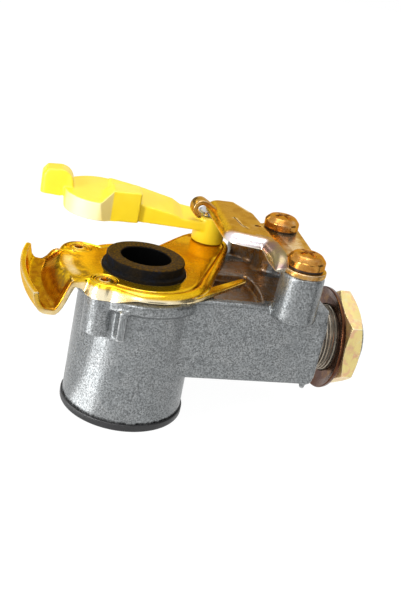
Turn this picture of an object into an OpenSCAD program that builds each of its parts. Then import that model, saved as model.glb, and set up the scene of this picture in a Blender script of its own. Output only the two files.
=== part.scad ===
// Palm-type air brake coupling head with a line filter and a swinging dust cover.
// The origin is the centre of the sealing face, +Z leaves the seal, +X runs along the arm to the stub.
// Heights are measured from the foot of the bottom cap and lowered onto the origin by seated().

/* [Chamber] */
// Outer radius of the filter chamber at its foot
chamber_r = 26; // [24:0.1:30]
// Radius that the chamber's draft takes off at the top
chamber_draft = 0.7; // [0:0.1:1.5]
// Bore radius of the filter chamber
chamber_bore_r = 20.5; // [19.5:0.1:22]
// Height of the chamber's foot above the cap's foot
cap_flange_t = 3.4; // [2.5:0.1:5]
// Height of the chamber's roof
chamber_roof_h = 50; // [46:0.5:51]
// Radius of the collar under the guide plate
collar_r = 27.8; // [27:0.1:29]
// Height of the collar's lower edge
collar_h = 53.2; // [52:0.1:55]
// Chamfer round the collar's top edge
collar_chamfer = 3.6; // [3:0.1:4.5]

/* [Arm] */
// Half width of the arm
arm_half_w = 20; // [18.5:0.1:21]
// Height of the arm's underside
arm_low_h = 23.2; // [20:0.1:24]
// Height of the arm's top
arm_top_h = 59; // [57:0.1:59.5]
// Distance from the seal axis to the shoulder that meets the bracket
shoulder_x = 78; // [77:0.1:82]
// Thickness of the end lip at the shoulder
end_lip_t = 4; // [3:0.1:6]
// How far the end lip stands proud of the arm's sides
end_lip_out = 0.9; // [0.5:0.1:2]
// Depth of the claw pocket in the arm's top
pocket_depth = 4; // [2:0.1:6]
// Height of the wall behind the locking plate
rear_wall_h = 70; // [66:0.1:74]
// Radius of the rounded edges along the arm
arm_edge_r = 1.6; // [0.8:0.1:3]

/* [Stub] */
// Height of the stub's axis
stub_axis_h = 37.8; // [36:0.1:40]
// Radius of the stub's thread
stub_r = 15; // [14:0.1:16]
// Length of the stub beyond the shoulder
stub_len = 23; // [22:0.1:28]
// Radius of the port's tapped bore
port_r = 10.25; // [9:0.05:11]
// Depth of the port's tapped bore
port_depth = 16; // [12:0.5:20]
// Radius of the air way from the port to the chamber
airway_r = 7.5; // [5:0.1:9]
// Room for the bracket between the shoulder and the washer
bracket_gap = 7.6; // [5:0.1:9]
// Radius of the stub washer
stub_washer_r = 23; // [21:0.1:25]
// Thickness of the stub washer
stub_washer_t = 2; // [1.5:0.1:3]
// Dish of the stub washer
stub_washer_dish = 1.8; // [0.5:0.1:3]
// Width of the lock nut across its flats
nut_af = 39; // [36:0.5:44]
// Thickness of the lock nut
nut_t = 8; // [6:0.5:10]
// Turn of the lock nut about the stub
nut_turn = 24; // [0:1:59]

/* [Seal] */
// Height of the sealing face
face_h = 68.5; // [67:0.1:70]
// Radius of the sealing face
seal_r = 16.3; // [15:0.1:17]
// Radius of the air hole through the seal
seal_hole_r = 10.4; // [8:0.1:11]
// Radius of the seal's step at the plate
seal_step_r = 17.4; // [17.1:0.1:18]
// Radius of the seal's flange under the plate
seal_flange_r = 19.8; // [19.3:0.1:21]
// Thickness of the seal's flange
seal_flange_t = 5.5; // [4:0.1:7]

/* [Guide plate] */
// Height of the deck's top face
deck_h = 62.8; // [62:0.1:64]
// Thickness of the guide plate's sheet
guide_t = 2.2; // [1.8:0.1:2.6]
// Radius of the deck round the seal
ring_r = 29.3; // [29:0.1:31]
// Width of the rolled edge
rim_w = 5; // [4.5:0.1:6]
// Drop of the rolled edge
rim_drop = 2.4; // [1.5:0.1:3]
// Angle at which the claw starts, seen from above
claw_start = 157; // [154:1:160]
// Angle at which the claw ends
claw_end = 215; // [212:1:218]
// Outer radius of the claw
claw_r = 47.8; // [46:0.1:54]
// Depth of the claw's trough at its start
claw_depth_start = 5.6; // [4:0.1:8]
// Depth of the claw's trough at its end
claw_depth_end = 13.4; // [11:0.1:15]
// Height of the claw's lip over its trough
claw_lip = 6; // [5:0.1:8]
// Length of the free strip along the arm
strip_len = 36; // [24:0.5:40]
// Width of the free strip at its root
strip_w = 5; // [4:0.1:6]

/* [Guide screws] */
// Radius of a guide screw's shank
guide_screw_r = 3; // [2.5:0.1:3.5]
// Radius of a guide screw's flush head
guide_head_r = 5.6; // [5:0.1:6.2]
// Radius of the bosses that take the guide screws
guide_boss_r = 6.7; // [6:0.1:7.5]
// Height of the lower end of the front boss
front_boss_low_h = 40.5; // [36:0.5:46]
// Height of the lower end of the rear boss
rear_boss_low_h = 47; // [44:0.5:50]

/* [Locking plate] */
// Height of the foot's top face
foot_h = 78; // [77:0.1:79]
// Height of the raised tongue's top face
tongue_h = 82; // [81.5:0.1:83]
// Thickness of the locking plate's sheet
lock_t = 2.2; // [1.8:0.1:2.4]
// Depth of the turned-down edge
hem_depth = 5; // [4:0.1:5.2]
// Outer radius of the curl at the tongue's rear corner
curl_r = 4.2; // [4:0.1:5]
// Length of the curl
curl_len = 7; // [5:0.1:8]

/* [Plate screws] */
// Distance from the seal axis to the front plate screw, along the arm
front_screw_x = 60.5; // [59:0.1:62]
// Distance from the seal axis to the rear plate screw, along the arm
rear_screw_x = 65.2; // [64:0.1:67]
// Distance of the front plate screw from the arm's middle
front_screw_y = 21; // [20.5:0.1:22]
// Distance of the rear plate screw from the arm's middle
rear_screw_y = 25; // [23:0.1:26]
// Radius of the bosses that take the plate screws, at the top
plate_boss_r = 9; // [8.6:0.1:9.6]
// Draft of those bosses, added at their foot
plate_boss_draft = 0.5; // [0:0.1:1]
// Height of the lower end of those bosses
plate_boss_low_h = 55; // [50:0.5:57]
// Radius of a plate screw's shank
plate_screw_r = 4; // [3.5:0.1:4.5]
// Radius of a plate screw's pan head
pan_r = 7.8; // [7:0.1:8.4]
// Height of a plate screw's pan head
pan_h = 6; // [5:0.1:7]
// Thickness of a lock washer
lock_washer_t = 0.9; // [0.6:0.1:1.2]

/* [Dust cover] */
// Distance from the seal axis to the pivot, along the arm
pivot_x = 37.5; // [36:0.1:39]
// Distance from the seal axis to the pivot, across the arm
pivot_y = 42; // [41:0.1:43]
// Turn of the cover from closed to where it stands
cover_open = 54.2; // [50:0.1:58]
// Radius of the pivot barrel
barrel_r = 7.5; // [7:0.1:8]
// Height of the barrel's top
barrel_top_h = 75.8; // [75:0.1:76]
// Radius of the pivot pin
pin_r = 4; // [3:0.1:4.5]
// Height of the cover's underside
cover_low_h = 69.2; // [69:0.1:70]
// Height of the cap's top
cap_top_h = 79; // [77:0.1:81]
// Radius of the cap at its top
cap_r = 16.6; // [16:0.1:18]
// Distance from the pivot to the centre of the cap
cap_near = 52; // [50:0.1:54]
// Wall of the cap
cap_wall = 2; // [1.5:0.1:2.5]
// Half width of the lever
lever_half_w = 6; // [5:0.1:7]
// Height of the grip's top
grip_top_h = 86.3; // [84:0.1:90]

/* [Filter] */
// Outer radius of the filter mesh
mesh_r = 15.5; // [14:0.1:16.5]
// Thickness of the filter mesh
mesh_t = 0.6; // [0.4:0.1:1]
// Outer radius of the cage's seat flange
cage_flange_r = 18; // [17.2:0.1:19]
// Thickness of the cage's rings
cage_ring_t = 2.5; // [2:0.1:4]
// Number of windows round the cage
cage_windows = 6; // [4:1:8]
// How far the filter can be pushed off its seat
filter_travel = 4; // [2:0.5:5]
// Wire radius of the filter spring
spring_wire_r = 0.6; // [0.4:0.05:0.8]
// Turns of the filter spring
spring_turns = 4; // [3:1:5]

/* [Bottom cap] */
// How far the cap's flange stands past the chamber
cap_out = 0.75; // [0.3:0.05:1.2]
// Height of the top of the cap's spigot
cap_spigot_h = 12; // [11:0.5:14]
// Wall of the cap's spigot
cap_spigot_wall = 4; // [3:0.1:5]
// Cord radius of the O-ring
o_ring_r = 1.25; // [1:0.05:1.5]
// Width of the cap's hexagon recess across its flats
cap_key_af = 17; // [14:1:20]

/* [Hidden] */
$fn = 72;

eps = 0.01;
slip = 0.05;              // radial room of a screw or pin in its hole
gap = 0.3;                // room between pieces that move past each other
body_top_h = deck_h - guide_t;
plate_seat_h = foot_h - lock_t;
seal_seat_h = body_top_h - seal_flange_t;
stub_end_x = shoulder_x + stub_len;
washer_x = shoulder_x + bracket_gap;
nut_x = washer_x + stub_washer_dish + stub_washer_t;

guide_front = [-18.5, -15.5];
guide_rear = [-25, 17.5];
pad_r = guide_boss_r + 1.3;
pivot = [pivot_x, pivot_y];
pivot_pad_r = barrel_r + 3.5;
pivot_dir = atan2(pivot_y, pivot_x);
reach = norm(pivot);
cover_dir = pivot_dir + 180 - cover_open;
front_screw = [front_screw_x, -front_screw_y];
rear_screw = [rear_screw_x, rear_screw_y];

gold = [0.80, 0.60, 0.22];
cast_grey = [0.62, 0.64, 0.65];
rubber_black = [0.06, 0.06, 0.06];
cover_yellow = [0.96, 0.85, 0.15];
screw_gold = [0.75, 0.47, 0.15];

// Lowers heights above the foot onto the frame whose origin is the sealing face
module seated() translate([0, 0, -face_h]) children();

// A disc from height low to height high on a vertical axis at place
module post(place, r, low, high) translate([place[0], place[1], low]) cylinder(r = r, h = high - low);

// Turns a profile of [distance from the stub's axis, x] about the stub's axis
module about_stub() translate([0, 0, stub_axis_h]) rotate([90, 0, 90]) children();

// A rectangle with round corners, centred
module round_rect(w, h, r) {
    square([w - 2 * r, h], center = true);
    square([w, h - 2 * r], center = true);
    for (x = [-1, 1], y = [-1, 1]) translate([x * (w / 2 - r), y * (h / 2 - r)]) circle(r = r);
}

// Body casting

arm_mid_h = (arm_low_h + arm_top_h) / 2;
lug_r = barrel_r + 2.2;
lug_low_h = body_top_h - 26;
wall_x = pivot_x + pivot_pad_r + 0.5;
pocket_r0 = collar_r + 2.5;
pocket_r1 = front_screw_x - plate_boss_r - 1;
pocket_front = arm_half_w - 4.5;
pocket_rear = 12;

// Chamber and collar, turned about the seal axis
module chamber_shell() rotate_extrude() polygon([
    [0, cap_flange_t], [chamber_r, cap_flange_t], [chamber_r - chamber_draft, collar_h - 1.2],
    [collar_r - 0.6, collar_h], [collar_r, collar_h + 0.6], [collar_r, body_top_h - collar_chamfer],
    [collar_r - collar_chamfer, body_top_h], [0, body_top_h]]);

// Arm with rounded long edges and the lip that meets the bracket
module arm_block() {
    translate([0, 0, arm_mid_h]) rotate([90, 0, 90]) {
        linear_extrude(shoulder_x - 0.6) round_rect(2 * arm_half_w, arm_top_h - arm_low_h, arm_edge_r);
        translate([0, -1.5, shoulder_x - end_lip_t]) linear_extrude(end_lip_t)
            round_rect(2 * (arm_half_w + end_lip_out), arm_top_h - arm_low_h - 3, 6);
    }
}

// Lug that carries the pivot pin behind the arm
module pivot_lug() {
    translate([pivot_x, pivot_y, 0]) rotate_extrude() polygon([
        [0, lug_low_h], [lug_r, lug_low_h], [lug_r, body_top_h - collar_chamfer],
        [lug_r - collar_chamfer - 0.5, body_top_h], [0, body_top_h]]);
    translate([0, 0, lug_low_h]) linear_extrude(body_top_h - rim_drop - lug_low_h) polygon([
        [pivot_x - lug_r, pivot_y], [pivot_x + lug_r, pivot_y],
        [rear_screw_x - plate_boss_r + 2, rear_screw_y + 4],
        [rear_screw_x - plate_boss_r + 2, arm_half_w - 2], [pocket_rear, arm_half_w - 2]]);
}

// Wall that closes the arm's rear between the lug and the rear boss
module rear_wall() translate([0, 0, lug_low_h]) linear_extrude(rear_wall_h - lug_low_h) polygon([
    [wall_x, pivot_y - 3], [wall_x, pivot_y + 3], [wall_x + 1.2, pivot_y + 3],
    [rear_screw_x - 2, rear_screw_y + plate_boss_r - 2], [rear_screw_x - 2, rear_screw_y],
    [rear_screw_x - plate_boss_r + 2, rear_screw_y + 4]]);

// Post that takes a plate screw, drafted and closed by a rounded end
module plate_boss(place) translate([place[0], place[1], 0]) rotate_extrude() polygon([
    [0, plate_boss_low_h], [plate_boss_r + plate_boss_draft - 1.5, plate_boss_low_h],
    [plate_boss_r + plate_boss_draft - 0.4, plate_boss_low_h + 0.5],
    [plate_boss_r + plate_boss_draft, plate_boss_low_h + 1.6],
    [plate_boss_r, plate_seat_h - 0.5], [plate_boss_r - 0.5, plate_seat_h], [0, plate_seat_h]]);

// Boss under a guide screw
module guide_boss(place, low_h) translate([place[0], place[1], 0]) rotate_extrude() polygon([
    [0, low_h], [guide_boss_r - 1, low_h], [guide_boss_r, low_h + 1],
    [guide_boss_r, body_top_h - 2.2], [guide_screw_r + 0.5, body_top_h - slip], [0, body_top_h - slip]]);

// Thread cylinder of the stub, with an undercut at the shoulder and a chamfered end
module stub() about_stub() rotate_extrude() polygon([
    [0, shoulder_x - 2], [stub_r - 1.2, shoulder_x - 2], [stub_r - 1.2, shoulder_x + 1.4],
    [stub_r, shoulder_x + 2.6], [stub_r, stub_end_x - 1.4], [stub_r - 1.4, stub_end_x], [0, stub_end_x]]);

// Everything that is machined or cored out of the casting
module body_hollows() {
    post([0, 0], chamber_bore_r, 0, chamber_roof_h);
    post([0, 0], seal_hole_r, chamber_roof_h - eps, body_top_h + 1);
    post([0, 0], seal_flange_r + 0.2, seal_seat_h, body_top_h + 1);
    about_stub() {
        translate([0, 0, chamber_bore_r - 6]) cylinder(r = airway_r, h = stub_end_x - chamber_bore_r);
        translate([0, 0, stub_end_x - port_depth]) cylinder(r = port_r, h = port_depth + 1);
    }
    for (s = [guide_front, guide_rear]) post(s, guide_screw_r + slip, body_top_h - 12, body_top_h + 1);
    for (s = [front_screw, rear_screw]) post(s, plate_screw_r + slip, plate_seat_h - 16, plate_seat_h + 1);
    post(pivot, pin_r, lug_low_h + 4, body_top_h + 1);
    claw_pocket();
}

// Pocket in the arm's top that a mating claw swings through
module claw_pocket() translate([0, 0, arm_top_h - pocket_depth]) linear_extrude(pocket_depth + 1)
    intersection() {
        difference() {
            circle(r = pocket_r1);
            circle(r = pocket_r0);
        }
        translate([0, -pocket_front]) square([pocket_r1 + 1, pocket_front + pocket_rear]);
    }

module body() color(cast_grey) seated() difference() {
    union() {
        chamber_shell();
        arm_block();
        pivot_lug();
        rear_wall();
        for (s = [front_screw, rear_screw]) plate_boss(s);
        guide_boss(guide_front, front_boss_low_h);
        guide_boss(guide_rear, rear_boss_low_h);
        // Rib beside the front boss
        translate([guide_front[0] + guide_boss_r - 1, -chamber_r - 1.2, front_boss_low_h + 1])
            cube([3.4, 8, collar_h - front_boss_low_h]);
        // Pip under the shoulder
        translate([shoulder_x - 3.2, -arm_half_w + 2.5, arm_low_h - 2.6])
            cylinder(r1 = 1.1, r2 = 1.7, h = 4);
        stub();
    }
    body_hollows();
}

// Seal

module seal_ring() color(rubber_black) seated() rotate_extrude() polygon([
    [seal_hole_r, seal_seat_h], [seal_flange_r, seal_seat_h], [seal_flange_r, body_top_h],
    [seal_step_r, body_top_h], [seal_step_r, deck_h + 1], [seal_step_r - 0.6, deck_h + 1.6],
    [seal_r, deck_h + 2], [seal_r, face_h - 0.8], [seal_r - 0.8, face_h], [seal_hole_r + 0.5, face_h],
    [seal_hole_r, face_h - 0.5]]);

// Guide plate: one pressed sheet, lofted from radial sections round the seal axis

plate_hole_r = seal_step_r + 0.3;
deck_steps = 2;
edge_dir = pivot_dir - acos((ring_r - pivot_pad_r) / reach);
edge_end = atan2(pivot_y + pivot_pad_r * sin(edge_dir), pivot_x + pivot_pad_r * cos(edge_dir));
claw_rear_w = 3;
claw_front_w = 11;

// Claw's section, from root to edge: where its points lie, its fall into the trough and its lip's rise
claw_at = [0, 0.3, 0.44, 0.53, 0.6, 0.67, 0.8, 0.92, 0.985, 1];
claw_fall = [[0, 0], [0.3, 0.03], [0.44, 0.15], [0.53, 0.45], [0.6, 0.8], [0.67, 0.97], [0.8, 1]];
claw_rise = [[0.8, 0], [0.92, 0.06], [0.985, 0.45], [1, 1]];
edge_steps = len(claw_at) - 1;

// Where a ray at angle a leaves a disc of radius r centred at place
function ray_disc(a, place, r) =
    let (d = norm(place), off = a - atan2(place[1], place[0]), s = d * sin(off))
    abs(s) < r && cos(off) > 0 ? d * cos(off) + sqrt(r * r - s * s) : 0;

// Straight right-hand edge, from the ring to the pivot's pad
function ray_right(a) = a > edge_dir && a < edge_end ? ring_r / cos(a - edge_dir) : 0;

// Straight rear edge, beside the pivot's pad
function ray_rear(a) =
    let (off = a - pivot_dir)
    off > 0 && off < 90 ? min(pivot_pad_r / max(sin(off), 0.001), reach / max(cos(off), 0.001)) : 0;

function smooth(s) = let (t = min(max(s, 0), 1)) t * t * (3 - 2 * t);
function pads(a) = max(ray_disc(a, guide_front, pad_r), ray_disc(a, guide_rear, pad_r));
function rim_r(a) = max(ring_r, pads(a), ray_disc(a, pivot, pivot_pad_r), ray_right(a), ray_rear(a));

// How far the section at angle a has gone over from rolled edge to claw
function claw_share(a) = smooth((a - claw_start) / claw_rear_w) * smooth((claw_end - a) / claw_front_w);
function claw_turn(a) = min(max((a - claw_start) / (claw_end - claw_start), 0), 1);
function claw_root(a) = max(ring_r - 3, pads(a) - 1.5);
function claw_edge(a) = rim_r(a) + (claw_r - rim_r(a)) * claw_share(a);

// Rolled edge: a quarter turn outwards and down, s from 0 to 1
function rim_point(a, s) = [rim_r(a) - rim_w + rim_w * sin(90 * s), deck_h - rim_drop * (1 - cos(90 * s))];

// Claw: over the nose into the trough, then up the lip, cut off at the claw's edge
function claw_point(a, i) =
    let (depth = claw_depth_start + (claw_depth_end - claw_depth_start) * claw_turn(a),
         r = claw_root(a) + (claw_edge(a) - claw_root(a)) * claw_at[i],
         q = (r - claw_root(a)) / (claw_r - claw_root(a)))
    [r, deck_h - depth * lookup(q, claw_fall) + claw_lip * lookup(q, claw_rise)];

function edge_point(a, i) =
    let (w = min(3 * claw_share(a), 1))
    rim_point(a, i / edge_steps) * (1 - w) + claw_point(a, i) * w;

function section_top(a) = concat(
    [for (i = [0 : deck_steps - 1])
        [plate_hole_r + (edge_point(a, 0)[0] - plate_hole_r) * i / deck_steps, deck_h]],
    [for (i = [0 : edge_steps]) edge_point(a, i)]);

// Moves each point of a section down by the sheet's thickness, square to the section
function section_under(top, t) = [for (i = [0 : len(top) - 1])
    let (before = top[max(i - 1, 0)], after = top[min(i + 1, len(top) - 1)], way = after - before)
    top[i] + t * [way[1], -way[0]] / norm(way)];

function reversed(list) = [for (i = [len(list) - 1 : -1 : 0]) list[i]];
function section_loop(a) = let (top = section_top(a)) concat(top, reversed(section_under(top, guide_t)));

// Joins rings of equal length into faces, each ring to the next and the last to the first
function loft_faces(rings, loop) = [for (i = [0 : rings - 1]) for (j = [0 : loop - 1])
    let (n = (i + 1) % rings, k = (j + 1) % loop)
    each [[i * loop + j, n * loop + k, i * loop + k], [i * loop + j, n * loop + j, n * loop + k]]];

module pressed_sheet() {
    angles = concat(
        [for (a = [edge_dir + 0.5 : 5 : claw_start - 2]) a],
        [for (i = [0 : 9]) claw_start - 0.2 + (claw_rear_w + 0.4) * i / 9],
        [for (a = [claw_start + claw_rear_w + 4 : 4 : claw_end - claw_front_w - 1]) a],
        [for (i = [0 : 9]) claw_end - claw_front_w + claw_front_w * i / 9],
        [for (a = [claw_end + 3 : 5 : edge_dir + 360 - 1]) a]);
    points = [for (a = angles) for (p = section_loop(a)) [p[0] * cos(a), p[0] * sin(a), p[1]]];
    polyhedron(points = points, faces = loft_faces(len(angles), len(section_loop(0))));
}

strip_turn = -50;
strip_t = guide_t - 0.2;
strip_low_h = arm_top_h + gap;
strip_in = 1.55;           // how far the strip's inner edge keeps off the collar's chamfer

// Free strip that runs off the ring's edge along the arm
module free_strip() rotate(strip_turn) translate([ring_r - strip_w, 0, strip_low_h]) linear_extrude(strip_t)
    polygon([[strip_in, -6], [strip_w - 0.6, -6], [strip_w, 0], [strip_w - 0.4, strip_len - 2],
        [strip_w - 1.4, strip_len], [strip_w - 2.6, strip_len - 2], [strip_in, 6]]);

// Countersunk hole for a guide screw
module guide_hole(place) translate([place[0], place[1], 0]) rotate(3.1) {
    post([0, 0], guide_screw_r + slip, body_top_h - 1, deck_h + 1);
    translate([0, 0, deck_h - guide_t + 0.2])
        cylinder(r1 = guide_screw_r + slip, r2 = guide_head_r + slip, h = guide_t - 0.2 + eps);
}

module guide_plate() color(gold) seated() difference() {
    union() {
        pressed_sheet();
        free_strip();
    }
    guide_hole(guide_front);
    guide_hole(guide_rear);
    post(pivot, pin_r + slip, body_top_h - 1, deck_h + 1);
}

// Flush screw with a hexagon recess
module guide_screw(place) color(screw_gold) seated() translate([place[0], place[1], 0]) difference() {
    rotate_extrude() polygon([
        [0, body_top_h - 11], [guide_screw_r - 0.6, body_top_h - 11], [guide_screw_r, body_top_h - 10],
        [guide_screw_r, deck_h - guide_t + 0.2], [guide_head_r, deck_h], [0, deck_h]]);
    translate([0, 0, deck_h - 1.4]) cylinder(r = guide_head_r * 0.5, h = 2, $fn = 6);
}

module guide_screw_front() guide_screw(guide_front);
module guide_screw_rear() guide_screw(guide_rear);

// Locking plate

foot_left = front_screw_x - plate_boss_r;
tongue_right = foot_left - 1;
tongue_rear_y = pivot_y + 2.5;
hem_low_h = tongue_h - hem_depth;
hem_w = 4.2;
hem_drop = hem_depth - lock_t + 0.8;
hem_steps = 6;
hem_corner = [40, 5.4];
hem_corner_r = 3;
left_dir = 177;
front_dir = 253.6;
front_hem_len = tongue_right - hem_corner[0] + 0.6;
hem_lap = 1;              // how far a hem reaches under the flat of the tongue
hem_sunk = 0.09;          // how far a hem's flat lies below the tongue's
tongue_edge_r = hem_corner_r + 0.5;
tongue_past = 0.4;        // how far the flat of the tongue runs past a hem's end
corner_steps = 6;
corner_bead = 0.1;        // how far the rolled corner stands proud of the hems
corner_lap = 4;           // how far the rolled corner turns past the start of each hem

// Turned-down edge: distance out from the flat of the tongue, and height, at turn a of the bend
function hem_top(a) = [hem_corner_r + hem_w * sin(a), tongue_h - hem_sunk - hem_drop * (1 - cos(a))];
function hem_in(a) = let (way = [-hem_drop * sin(a), -hem_w * cos(a)]) way / norm(way);

// Section of the turned-down edge, thickened all round by grow
module hem_profile(grow = 0) {
    turns = [for (i = [0 : hem_steps]) 90 * i / hem_steps];
    flat_h = tongue_h - hem_sunk + grow;
    low = [0, -grow];
    polygon(concat(
        [[hem_corner_r - hem_lap - grow, flat_h]],
        [for (a = turns) hem_top(a) - grow * hem_in(a)],
        [hem_top(90) - grow * hem_in(90) + low, hem_top(90) + (lock_t + grow) * hem_in(90) + low],
        [for (a = reversed(turns)) hem_top(a) + (lock_t + grow) * hem_in(a)],
        [[hem_corner_r - hem_lap - grow, flat_h - lock_t - 2 * grow]]));
}

// A point beside the corner's centre: r along dir, then t further along the edge
function beside(dir, r, t) = hem_corner + r * [cos(dir), sin(dir)] + t * [-sin(dir), cos(dir)];

// Raised tongue: one pressed sheet whose front and left edges turn down
module tongue() {
    left_hem_len = tongue_rear_y - hem_corner[1] - tongue_past;
    corner = [for (i = [0 : corner_steps])
        beside(left_dir + (front_dir - left_dir) * i / corner_steps, tongue_edge_r, 0)];
    translate([0, 0, tongue_h - lock_t]) linear_extrude(lock_t) polygon(concat(corner, [
        beside(front_dir, tongue_edge_r, front_hem_len + tongue_past),
        [tongue_right + 2, rear_screw_y + 6], [tongue_right - 3, tongue_rear_y],
        beside(left_dir, tongue_edge_r, -left_hem_len - tongue_past)]));
    translate([hem_corner[0], hem_corner[1], 0]) {
        rotate_extrude(angle = front_dir - left_dir + 2 * corner_lap, start = left_dir - corner_lap)
            hem_profile(corner_bead);
        rotate(left_dir) rotate([90, 0, 0]) linear_extrude(left_hem_len) hem_profile();
        rotate(front_dir) translate([0, front_hem_len, 0]) rotate([90, 0, 0])
            linear_extrude(front_hem_len) hem_profile();
    }
}

module foot_outline() {
    for (s = [front_screw, rear_screw]) translate(s) circle(r = plate_boss_r);
    polygon([[foot_left, front_screw[1]], [front_screw_x + plate_boss_r, front_screw[1]],
        [rear_screw_x + plate_boss_r, rear_screw[1]], [foot_left, rear_screw[1] + 6]]);
}

bend_in = 0.06;           // how far a bend's faces lie inside the sheets that it joins

// Bend from the tongue down to the foot
module step_bend() translate([0, rear_screw[1] + 5, 0]) rotate([90, 0, 0])
    linear_extrude(rear_screw[1] - front_screw[1] + 1) polygon([
        [tongue_right - 3, tongue_h - bend_in], [foot_left + 0.6, tongue_h - bend_in],
        [foot_left + 3.6, foot_h - bend_in], [foot_left + 5, foot_h - bend_in],
        [foot_left + 5, plate_seat_h + bend_in], [foot_left + 2.4, plate_seat_h + bend_in],
        [foot_left - 0.6, tongue_h - lock_t - bend_in], [tongue_right - 3, tongue_h - lock_t - bend_in]]);

// Ear that hangs from the tongue's front corner down to the front boss
ear_low_h = plate_seat_h + gap;
ear_front = front_screw[1] - 2.5;
ear_lap = 0.6;
ear_top_h = tongue_h - 2 * bend_in;

module ear() translate([foot_left - lock_t + ear_lap, 0, 0]) rotate([90, 0, 90]) linear_extrude(lock_t)
    polygon([
        [ear_front, ear_low_h], [ear_front + 0.3, ear_low_h + 2.6], [ear_front + 3, ear_low_h + 4.6],
        [ear_front + 8, ear_top_h - 0.4], [ear_front + 13, ear_top_h], [0.5, ear_top_h],
        [0.5, tongue_h - lock_t - 2 * bend_in], [ear_front + 14, hem_low_h + 1.4],
        [ear_front + 9, ear_low_h]]);

curl_place = [29.7, 36];
curl_tail = 8;
curl_lap = 0.8;           // how far the tail runs into the roll
curl_bead = 0.1;          // how far the roll stands proud of the tail
curl_sunk = 1.7;          // how far the curl's centre lies below the tongue's top
curl_h = tongue_h - curl_sunk;

// Curl at the tongue's rear corner, rolled over the lever's root
module curl() translate([curl_place[0], curl_place[1] + curl_len / 2, curl_h]) rotate([90, 0, 0]) {
    rotate_extrude(angle = 210, start = 60) translate([curl_r - lock_t, 0]) square([lock_t, curl_len]);
    rotate(60) translate([curl_r - lock_t + curl_bead, -curl_tail, curl_bead])
        cube([lock_t - 2 * curl_bead, curl_tail + curl_lap, curl_len - 2 * curl_bead]);
}

module locking_plate() color(gold) seated() difference() {
    union() {
        translate([0, 0, plate_seat_h]) linear_extrude(lock_t) foot_outline();
        tongue();
        step_bend();
        ear();
        curl();
    }
    for (s = [front_screw, rear_screw]) post(s, plate_screw_r + slip, plate_seat_h - 1, foot_h + 10);
    for (s = [front_screw, rear_screw]) post(s, pan_r + 0.4, foot_h, tongue_h + 10);
}

// Pan-head screw with a slot and a cross recess
module plate_screw(place) color(screw_gold) seated() translate([place[0], place[1], foot_h + lock_washer_t])
    difference() {
        rotate_extrude() polygon(concat(
            [[0, -17], [plate_screw_r - 0.8, -17], [plate_screw_r, -16], [plate_screw_r, 0],
             [pan_r, 0], [pan_r, pan_h * 0.45]],
            [for (a = [15 : 15 : 75]) [pan_r - 2.6 + 2.6 * cos(a), pan_h * (0.45 + 0.42 * sin(a))]],
            [[pan_r - 2.6, pan_h * 0.9], [0, pan_h]]));
        for (turn = [20, 110]) rotate(turn) translate([-pan_r * 0.6, -1, pan_h - 2.6])
            cube([pan_r * 1.2, 2, 4]);
    }

module plate_screw_front() plate_screw(front_screw);
module plate_screw_rear() plate_screw(rear_screw);

module lock_washer(place) color([0.16, 0.14, 0.12]) seated() difference() {
    post(place, pan_r - 0.3, foot_h, foot_h + lock_washer_t);
    post(place, plate_screw_r + slip, foot_h - 1, foot_h + 2);
}

module lock_washer_front() lock_washer(front_screw);
module lock_washer_rear() lock_washer(rear_screw);

// Pivot

pivot_washer_t = 0.8;
pin_head_t = 1;
pin_head_h = barrel_top_h + gap + pivot_washer_t;

// Headed pin, pressed into the lug
module pivot_pin() color([0.72, 0.72, 0.70]) seated() translate([pivot_x, pivot_y, 0]) rotate_extrude()
    polygon([
        [0, lug_low_h + 5], [pin_r - 0.6, lug_low_h + 5], [pin_r, lug_low_h + 6], [pin_r, pin_head_h],
        [pin_r + 2, pin_head_h], [pin_r + 2, pin_head_h + 0.6], [pin_r + 1.4, pin_head_h + pin_head_t],
        [0, pin_head_h + pin_head_t]]);

module pivot_washer() color([0.5, 0.5, 0.48]) seated() difference() {
    post(pivot, barrel_r - 1, barrel_top_h + gap, pin_head_h);
    post(pivot, pin_r + slip, barrel_top_h, pin_head_h + 1);
}

// Dust cover, drawn with its pivot at the origin and its lever along +X

lever_front = lever_half_w + 0.8;
lever_root_top_h = barrel_top_h - 0.5;
lever_front_top_h = cover_low_h + 4.3;
lever_rise = 14;
lever_risen = lever_rise + 4;
rib_near = cap_near - 18;
rib_far = rib_near + 12.5;
rib_front = lever_front + 2.2;
rib_skew = 1.8;
rib_top_h = cap_top_h + 4;
web_top_h = cap_top_h - 1.6;
cap_back = 2;
skirt_slope = 1.4;
top_tilt = 4.3;

// Rear edge of the lever at distance u, on the tangent from the barrel to the cap
function lever_rear(u) = -barrel_r + 0.3 - (cap_r + cap_back - barrel_r) * u / cap_near;

// Cross-section of the lever, extruded by t along the lever from u
module lever_slice(u, t, front, front_h, rear_h) translate([u, 0, 0]) rotate([90, 0, 90])
    linear_extrude(t) polygon([
        [front, cover_low_h], [front, front_h], [lever_rear(u) + 1, rear_h], [lever_rear(u), rear_h - 0.6],
        [lever_rear(u), cover_low_h]]);

// Lever that rises from the barrel to the cap
module lever() {
    hull() {
        lever_slice(0, 1, lever_front, lever_front_top_h, lever_root_top_h);
        lever_slice(lever_rise, 1, lever_front, lever_front_top_h, lever_root_top_h + 0.4);
    }
    hull() {
        lever_slice(lever_rise, 1, lever_front, lever_front_top_h, lever_root_top_h + 0.4);
        lever_slice(lever_risen, 1, lever_front, lever_front_top_h + 1.5, cap_top_h - 1.3);
    }
    hull() {
        lever_slice(lever_risen, 1, lever_front, lever_front_top_h + 1.5, cap_top_h - 1.3);
        lever_slice(rib_near, 1, lever_front, lever_front_top_h + 4, cap_top_h + 1);
    }
    hull() {
        lever_slice(rib_near, 1, lever_front, lever_front_top_h + 4, cap_top_h + 1);
        lever_slice(rib_far, 1, lever_front, cap_top_h - 0.7, cap_top_h + 2);
    }
}

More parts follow.
